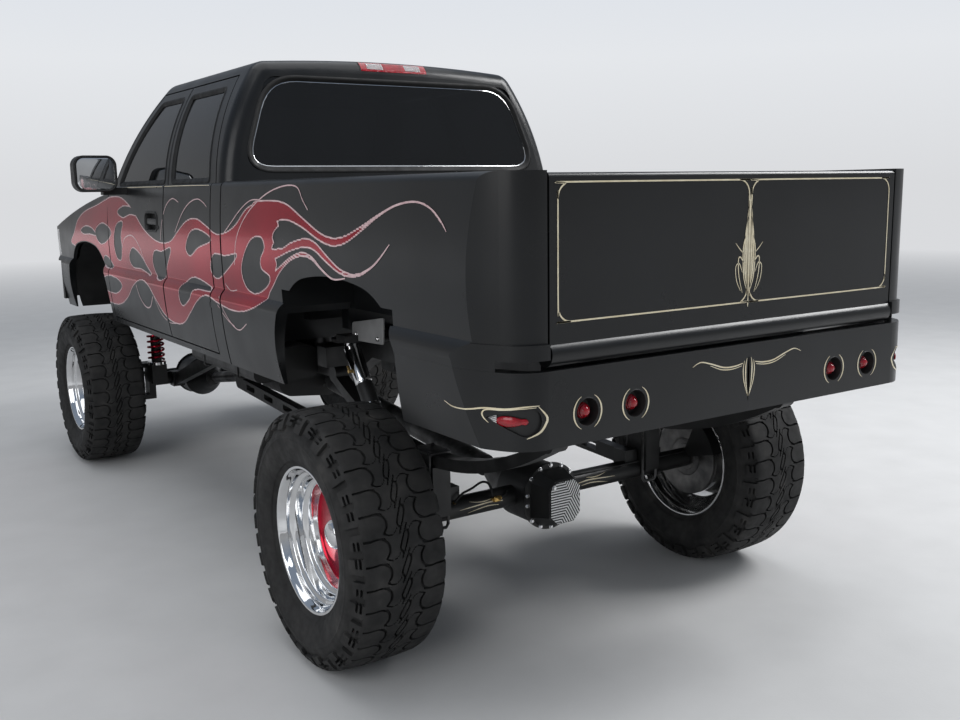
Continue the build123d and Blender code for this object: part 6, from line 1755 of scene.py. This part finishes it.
def seats():
    """Bucket seats and the rear bench: hard bases and shells, padded covers, piping."""
    covers = {}
    for name, x, half_width, base_y, tilt in SEATS:
        lean = math.atan2(0.02 + tilt, 0.56)
        ahead = (0, math.cos(lean), math.sin(lean))
        up_back = (0, -math.sin(lean), math.cos(lean))
        parts = (
            ("cushion", (half_width - 0.016, 0.186, 0.06), (x, base_y + 0.062, SEAT_LOW + 0.2),
             (0, -0.077, 1), (0, 1, 0)),
            ("back", (half_width - 0.016, 0.262, 0.04),
             (x, base_y - 0.205 - tilt * 0.45, SEAT_LOW + 0.555), ahead, up_back),
        )
        for part, half, centre, out, up in parts:
            key = (half, part)
            if key not in covers:
                lines = [step * half[0] / 2 for step in (-1, 0, 1)]
                cover = stitched(blown_cover(f"{name}_{part}", half), lines)
                cover.materials.clear()
                cover.materials.append(CLOTH)
                covers[key] = shaded(cover)
            place = face_on(centre, out, up)
            made = stand(f"{name}_{part}", covers[key], "root", place)
            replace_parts(made, "seats")
            rim = dense(rounded(half[0] + 0.004, half[1] + 0.004, 0.055), 0.04)
            piping = Heap().add(*tube([(u, v, 0.52 * half[2]) for u, v in rim], 0.0045, 8, True), 0, place)
            piping.piece(f"{name}_{part}_piping", CLOTH, "root", "seat_fabric", 60)
        heap = Heap()
        base = at(x, base_y + 0.01, SEAT_LOW)
        heap.add(*plate(rounded(half_width - 0.012, 0.235, 0.04), 0.128, 0.012), 0, base)
        shell = face_on((x, base_y - 0.25 - tilt * 0.45, SEAT_LOW + 0.48), -Vector(ahead), up_back)
        points, faces = plate(rounded(half_width - 0.01, 0.33, 0.06), 0.014, 0.006)
        heap.add(points, faces, 0, shell)
        heap.add(points, turned_over(faces), 0, shell @ Matrix.Diagonal((1, 1, -0.6, 1)))
        heap.piece(f"{name}_frame", CABIN, "root", "cabin_trim", 40)


seats()


# Cabin

DASH_OUT = (0, -0.99, -0.12)


def dash_controls():
    """Gauge, radio and glovebox fields, gauges, vents and knobs on the dashboard."""
    heap = Heap()
    for x, z, half_u, half_v, radius in (
        (-0.4, 1.632, 0.165, 0.047, 0.02),
        (0.02, 1.64, 0.09, 0.05, 0.01),
        (0.52, 1.6, 0.19, 0.06, 0.02),
    ):
        place = face_on((x, 0.9735 + (1.62 - z) * 0.12, z), DASH_OUT)
        heap.add(*bezel(rounded(half_u, half_v, radius), 0.01, 0.01), 0, place)
        heap.add(*plate(rounded(half_u - 0.006, half_v - 0.006, radius), 0.003, 0.001), 1, place)
    for x, radius in ((-0.5, 0.034), (-0.42, 0.034), (-0.34, 0.034), (-0.28, 0.022)):
        heap.add(*bezel(circle(radius), 0.005, 0.006), 2, face_on((x, 0.969, 1.632), DASH_OUT))
    for x in (-0.66, -0.12, 0.16, 0.76):
        place = face_on((x, 0.9715, 1.65), DASH_OUT)
        heap.add(*bezel(rounded(0.046, 0.026, 0.008), 0.005, 0.008), 1, place)
        for row in (-0.012, -0.004, 0.004, 0.012):
            heap.add(*plate(rounded(0.04, 0.0014, 0.001, centre=(0, row)), 0.005, 0.0005), 1, place)
    for row in range(2):
        for x in (-0.035, 0.02, 0.075):
            heap.add(*banded(circle(0.011, 18), [(0, 0), (0, 0.012), (0.002, 0.014)]), 1,
                     face_on((x, 0.97, 1.655 - 0.032 * row), DASH_OUT))
    heap.piece("dash_controls", [CABIN, TRIM, CHROME], "root", "cabin_trim", 35)


def steering_grip():
    """Padded rim of the steering wheel."""
    centre, up = Vector((-0.4, 0.7755, 1.675)), Vector((0, 0.43, 0.9)).normalized()
    ring = [centre + 0.19 * (Vector((u, 0, 0)) + up * v) for u, v in circle(1, 64)]
    Heap().add(*tube(ring, 0.0148, 12, True)).piece("steering_grip", TRIM, "root", "cabin_trim", 60)


def door_panels():
    """Inner panel of each door: map pocket, armrest and its lever."""
    for side, tag in SIDES:
        for row, low, high in (("front", 0.26, 1.24), ("rear", -0.46, 0.12)):
            middle, half = (low + high) / 2, (high - low) / 2
            place = face_on((side * 0.8995, middle, 1.41), (-side, 0, 0))
            heap = Heap()
            heap.add(*plate(rounded(half, 0.33, 0.05), 0.008, 0.004), 0, place)
            heap.add(*bezel(rounded(half - 0.05, 0.13, 0.04, centre=(0, -0.13)), 0.012, 0.013), 0, place)
            heap.add(*plate(rounded(0.55 * half, 0.026, 0.02, centre=(0, 0.08)), 0.045, 0.012), 0, place)
            lever = rounded(0.05, 0.012, 0.008, centre=(0.2 * half, 0.19))
            heap.add(*plate(lever, 0.02, 0.006), 1, place)
            heap.piece(f"door_panel_{row}_{tag}", [CABIN, CHROME], f"door_{row}_{tag}", "cabin_trim", 40)


dash_controls()
steering_grip()
door_panels()


# Front: arch liners, grille, lamps, bumper, wipers

def arch_liners():
    """Liner over each front wheel, from the apron out to the fender's skin."""
    for side, tag in SIDES:
        heap = Heap()
        rows, outer_rows = (arch_loop(FRONT_AXLE_Y, grow)[1:-1] for grow in (0.002, 0.005))
        points = []
        for (y, z), (far_y, far_z) in zip(rows, outer_rows):
            skin_x = side_x(max(z, ROCKER_Z), "cab") - 0.04
            points += [(side * 0.656, y, z), (side * skin_x, y, z), (side * skin_x, far_y, far_z),
                       (side * 0.656, far_y, far_z)]
        heap.add(points, turned_over(bar(len(rows), 4), side < 0))
        heap.piece(f"arch_liner_{tag}", TRIM, "root", "trim_black", 40)


def front_end():
    """Grille surround and mesh, headlamp rings, markers, bumper trim and wipers."""
    heap = Heap()
    place = face_on((0, 2.7775, 1.4175), (0, 1, 0))
    heap.add(*bezel(rounded(0.572, 0.0905, 0.012), 0.012, 0.009), 0, place)
    for step in range(45):
        x = -0.539 + 0.0245 * step
        heap.add(*tube([(x, 2.735, 1.34), (x, 2.735, 1.495)], 0.003, 6), 1)
    for z in (1.3605, 1.3985, 1.4365, 1.4745):
        heap.add(*tube([(-0.545, 2.7392, z), (0.545, 2.7392, z)], 0.0026, 6), 1)
    heap.piece("grille_detail", [CHROME, STEEL_GREY], "root", "polished", 40)
    for side, tag in SIDES:
        heap = Heap()
        place = face_on((side * 0.735, 2.7776, 1.4175), (0, 1, 0))
        heap.add(*bezel(rounded(0.14, 0.0905, 0.016), 0.011, 0.007), 0, place)
        for offset, radius in ((-0.062, 0.06), (0.066, 0.052)):
            centre = (offset, 0)
            heap.add(*banded(circle(radius, 40, centre), [
                (0, 0), (0, 0.004), (0.002, 0.006), (0.006, 0.006), (0.01, 0.0025),
                (radius * 0.55, 0.0008)]), 1, place)
            heap.add(*banded(circle(radius * 0.48, 32, centre), [
                (0, 0.0008), (0.0006, 0.004), (0.006, 0.0062), (0.013, 0.0074)]), 2, place)
        heap.add(*plate(rounded(0.132, 0.01, 0.004, centre=(0, -0.074)), 0.005, 0.0015), 3, place)
        heap.piece(f"headlamp_detail_{tag}", [TRIM, CHROME, LENS_CLEAR, AMBER], "root", "lamp_clear", 35)
        wiper = Heap()
        base_x = side * 0.16 - 0.2
        arm = [screen_face(base_x + x, z, out) for x, z, out in (
            (0, 1.8, 0.016), (0.02, 1.835, 0.024), (0.26, 1.87, 0.018), (0.42, 1.882, 0.012))]
        wiper.add(*tube(smooth_path(arm, 5), 0.005, 8))
        blade = [screen_face(base_x + 0.16 + 0.055 * k, 1.861 + 0.0035 * k, -0.0028) for k in range(9)]
        wiper.add(*tube(blade, 0.0052, 6))
        wiper.piece(f"wiper_{tag}", TRIM, "root", "trim_black", 50)
    heap = Heap()
    heap.add(*tube([(x, 2.836, 1.279) for x in (-0.62, 0, 0.62)], 0.003, 8))
    heap.add(*bezel(rounded(0.398, 0.034, 0.028), 0.009, 0.004), 0,
             face_on((0, 2.835, 1.1075), (0, 1, 0)))
    heap.piece("bumper_trim", CHROME, "root", "polished", 40)


arch_liners()
front_end()


# Bed, tailgate and engine bay

def bed_dressing():
    """Ribs of the bed floor, tie-down hooks, the tailgate's inner panel and its latch handle."""
    heap = Heap()
    for step in range(13):
        x = -0.57 + 0.095 * step
        place = at(x, -1.735, 1.2978)
        rib = dense(rounded(0.026, 0.985, 0.02, 3), 0.2)
        heap.add(*banded(rib, [(0, 0), (0.003, 0.004), (0.008, 0.0052)]), 0, place)
    for side in (-1, 1):
        for y in (-0.8, -2.6):
            place = face_on((side * 0.8145, y, 1.6), (-side, 0, 0))
            heap.add(*plate(rounded(0.03, 0.022, 0.008), 0.004, 0.001), 1, place)
            ring = [(side * (0.8105 - 0.018 * math.sin(turn)), y + 0.02 * math.cos(turn), 1.6)
                    for turn in np.linspace(0, math.pi, 13)]
            heap.add(*tube(ring, 0.0045, 8), 1)
    heap.piece("bed_floor_ribs", [EDGE_BLACK, STEEL_GREY], "root", "body_paint", 40)
    heap = Heap()
    place = face_on((0, -2.7813, 1.55), (0, 1, 0))
    heap.add(*bezel(rounded(0.74, 0.195, 0.05), 0.02, 0.005), 0, place)
    for x in (-0.45, 0, 0.45):
        heap.add(*plate(rounded(0.01, 0.15, 0.008, centre=(x, -0.01)), 0.004, 0.0015), 0, place)
    heap.add(*plate(rounded(0.085, 0.026, 0.012, centre=(0, 0.155)), 0.011, 0.003), 1, place)
    heap.piece("tailgate_inner_panel", [EDGE_BLACK, TRIM], "tailgate", "body_paint", 40)


BLADES = 7
BLADE_PITCH = 0.45


def engine_bay():
    """Valve covers, intake, air cleaner, radiator with its fan, battery and hoses."""
    heap = Heap()
    top = 1.5
    for side in (-1, 1):
        place = face_on((side * 0.215, 1.9405, top - 0.004), (side * 0.35, 0, 1), (0, 1, 0))
        heap.add(*plate(rounded(0.072, 0.27, 0.02), 0.062, 0.014), 0, place)
        for y in (-0.2, 0.0, 0.2):
            add_bolt(heap, place @ at(0, y, 0.061), 0.008, 0.009, 3)
    place = at(0, 1.9405, top)
    heap.add(*plate(rounded(0.095, 0.23, 0.03), 0.055, 0.012), 3, place)
    cleaner = at(0, 1.9405, top + 0.054)
    heap.add(*banded(circle(0.165, 64), [(0, 0), (0, 0.008), (0.01, 0.01), (0.01, 0.052), (0, 0.054),
                                         (0, 0.06), (0.012, 0.066), (0.12, 0.07)]), 1, cleaner)
    heap.add(*banded(circle(0.014, 6), [(0, 0.068), (0, 0.08), (0.003, 0.083)]), 3, cleaner)
    core = face_on((0, 2.5373, 1.345), (0, -1, 0))
    heap.add(*plate(rounded(0.36, 0.165, 0.012), 0.038, 0.004), 2, core)
    heap.add(*bezel(circle(0.15, 48), 0.012, 0.07), 2, core)
    for blade in range(BLADES):
        turn = 2 * math.pi * blade / BLADES
        hub = core @ Matrix.Rotation(turn, 4, "Z") @ at(0.078, 0, 0.05)
        blade_place = hub @ Matrix.Rotation(BLADE_PITCH, 4, "X")
        heap.add(*plate(rounded(0.056, 0.022, 0.01), 0.004, 0.001), 2, blade_place)
    heap.add(*banded(circle(0.026, 24), [(0, 0.03), (0, 0.058), (0.004, 0.062)]), 2, core)
    for path, radius in (
        ([(0.12, 2.2, 1.5), (0.13, 2.26, 1.548), (0.2, 2.4, 1.52), (0.27, 2.5, 1.455)], 0.021),
        ([(-0.19, 2.16, 1.4), (-0.24, 2.29, 1.36), (-0.29, 2.4, 1.29), (-0.3, 2.5, 1.255)], 0.021),
        ([(-0.3, 2.15, 1.47), (-0.42, 2.1, 1.5), (-0.56, 1.95, 1.47), (-0.638, 1.8, 1.44)], 0.008),
    ):
        heap.add(*tube(smooth_path(path, 7), radius, 14), 4)
    tray = at(0.545, 2.38, 1.292)
    heap.add(*plate(rounded(0.098, 0.105, 0.006), 0.006, 0.001), 2, tray)
    heap.add(*plate(rounded(0.084, 0.092, 0.006), 0.172, 0.003), 1, tray @ at(0, 0, 0.006))
    for y in (-0.055, 0.055):
        post = circle(0.009, 16, (0.05, y))
        heap.add(*banded(post, [(0, 0.176), (0.001, 0.192), (0.003, 0.194)]), 3, tray)
    heap.piece("engine_dressing", [CANDY, TRIM, CHASSIS, POLISHED, SEAL], "root", "cast", 35)


def underside():
    """Bolts of the shafts' joints, tank straps, exhaust clamps and tip, and frame bolts."""
    heap = Heap()
    for x, y, z, radius in ((-0.05, -1.452, 0.503, 0.052), (-0.05, 0.22, 0.664, 0.052),
                            (-0.27, 1.575, 0.503, 0.042), (-0.27, 0.56, 0.674, 0.042)):
        place = face_on((x, y, z), (0, 1, 0.08))
        for k in range(4):
            u, v = polar(radius * 0.8, math.pi / 4 + math.pi / 2 * k)
            add_bolt(heap, place @ at(u, v, 0.002), 0.006, 0.007)
    for y in (-0.36, 0.13):
        heap.add(*tube([(x, y, z) for x, z in (
            (-0.483, 1.0125), (-0.808, 1.0125), (-0.8125, 1.006),
            (-0.8125, 0.856), (-0.808, 0.848), (-0.483, 0.848))], 0.004, 8))
    for y, radius, wire, material in ((-0.2, 0.0385, 0.0045, 0), (0.36, 0.0385, 0.0045, 0),
                                      (-0.812, 0.035, 0.0022, 1)):
        ring = [(x, y, z) for x, z in circle(radius, 32, (0.62, 0.93))]
        heap.add(*tube(ring, wire, 8, True), material)
    for side in (-1, 1):
        for y in (-0.9645, -0.6, 0.2355, 0.6, 1.0805, 1.4, 2.3):
            for z in (0.915, 0.965) if -0.8 < y < 1.4 else ((1.075, 1.125) if y > 1.4 else ()):
                add_bolt(heap, face_on((side * 0.48, y, z), (side, 0, 0)), 0.009, 0.009, 0)
    heap.piece("chassis_fasteners", [STEEL_GREY, POLISHED], "root", "grey_steel", 30)


bed_dressing()
engine_bay()
underside()


# Floor, light and camera

HORIZON = (0.7, 0.71, 0.73)
FLOOR_REACH = 60.0

# Area lamps: name, place, aim, size, power in watts
LAMPS = (
    ("key", (7.5, -4.0, 7.5), (0, -0.5, 1.0), 4.5, 720),
    ("fill", (-7.5, -4.5, 4.5), (0, -0.5, 1.0), 5.5, 200),
    ("top", (0, 0, 7.5), (0, 0, 0), 8.0, 260),
)

# The photograph's camera: place, degrees of yaw, pitch and roll from the truck's front, lens in mm
EYE = (-2.544, -5.0715, 1.755)
EYE_TURN = (33.9, -9.69, -0.9)
EYE_LENS = 37.8


def studio_floor():
    """Pale floor that fades into the horizon's colour far out."""
    finish = Finish("floor_pale", Specular_IOR_Level=0.2)
    finish.colours(finish.noise(3, 6), ((0.3, grey(0.6)), (0.7, grey(0.64))))
    finish.rough(finish.noise(8, 5), 0.75, 0.9)
    finish.bumps((finish.noise(90, 5), 0.2, 0.002))
    distance, haze = finish.nodes.new("ShaderNodeVectorMath"), finish.nodes.new("ShaderNodeEmission")
    fade = finish.nodes.new("ShaderNodeMixShader")
    distance.operation = "LENGTH"
    finish.links.new(finish.place, distance.inputs[0])
    haze.inputs["Color"].default_value = (*HORIZON, 1)
    finish.links.new(finish.shift(distance.outputs["Value"], 0, 1, 9, 24), fade.inputs["Fac"])
    finish.links.new(finish.shader.outputs["BSDF"], fade.inputs[1])
    finish.links.new(haze.outputs["Emission"], fade.inputs[2])
    finish.links.new(fade.outputs["Shader"], finish.nodes["Material Output"].inputs["Surface"])
    mesh = bpy.data.meshes.new("studio_floor")
    corners = [(a * FLOOR_REACH, b * FLOOR_REACH, 0) for a, b in ((-1, -1), (1, -1), (1, 1), (-1, 1))]
    mesh.from_pydata(corners, [], [(0, 1, 2, 3)])
    mesh.materials.append(finish.material)
    linked("studio_floor", mesh)


def studio_sky():
    """Blue light for the truck. The camera sees a pale gradient, and reflections a dimmer one."""
    world = bpy.data.worlds.new("studio_world")
    bpy.context.scene.world = world
    world.use_nodes = True
    tree = world.node_tree
    new, link = tree.nodes.new, tree.links.new
    light = tree.nodes["Background"]
    light.inputs["Color"].default_value = (0.86, 0.92, 1.0, 1)
    light.inputs["Strength"].default_value = 0.42
    direction, split = new("ShaderNodeTexCoord"), new("ShaderNodeSeparateXYZ")
    link(direction.outputs["Generated"], split.inputs["Vector"])
    ramp = colour_ramp(tree.nodes, ((0.0, HORIZON), (0.12, (0.78, 0.8, 0.83)), (0.55, (0.5, 0.6, 0.76))))
    link(split.outputs["Z"], ramp.inputs["Fac"])
    shown, dimmed = new("ShaderNodeBackground"), new("ShaderNodeBackground")
    dimmed.inputs["Strength"].default_value = 0.4
    for picture in (shown, dimmed):
        link(ramp.outputs["Color"], picture.inputs["Color"])
    rays, sky = new("ShaderNodeLightPath"), light.outputs["Background"]
    for ray, picture in (("Is Glossy Ray", dimmed), ("Is Transmission Ray", shown), ("Is Camera Ray", shown)):
        mix = new("ShaderNodeMixShader")
        link(rays.outputs[ray], mix.inputs["Fac"])
        link(sky, mix.inputs[1])
        link(picture.outputs["Background"], mix.inputs[2])
        sky = mix.outputs["Shader"]
    link(sky, tree.nodes["World Output"].inputs["Surface"])


def studio_lamps():
    """Large soft lamps, each turned to its aim."""
    for name, place, aim, size, power in LAMPS:
        lamp = bpy.data.lights.new(name, "AREA")
        lamp.size, lamp.energy = size, power
        holder = linked(name, lamp)
        holder.location = place
        holder.rotation_euler = (Vector(aim) - Vector(place)).to_track_quat("-Z", "Y").to_euler()


def studio_camera():
    """Camera as fitted to the photograph."""
    yaw, pitch, roll = (math.radians(angle) for angle in EYE_TURN)
    ahead = Vector((math.sin(yaw) * math.cos(pitch), math.cos(yaw) * math.cos(pitch), math.sin(pitch)))
    level = Vector((math.cos(yaw), -math.sin(yaw), 0))
    upright = level.cross(ahead)
    right = level * math.cos(roll) + upright * math.sin(roll)
    up = -level * math.sin(roll) + upright * math.cos(roll)
    camera = bpy.data.cameras.new("camera")
    camera.sensor_width, camera.sensor_fit, camera.lens = 36, "HORIZONTAL", EYE_LENS
    eye = linked("camera", camera)
    eye.matrix_world = at(*EYE) @ Matrix((right, up, -ahead)).transposed().to_4x4()
    bpy.context.scene.camera = eye
    bpy.context.scene.view_settings.view_transform = "Standard"


studio_floor()
studio_sky()
studio_lamps()
studio_camera()

bpy.context.view_layer.update()
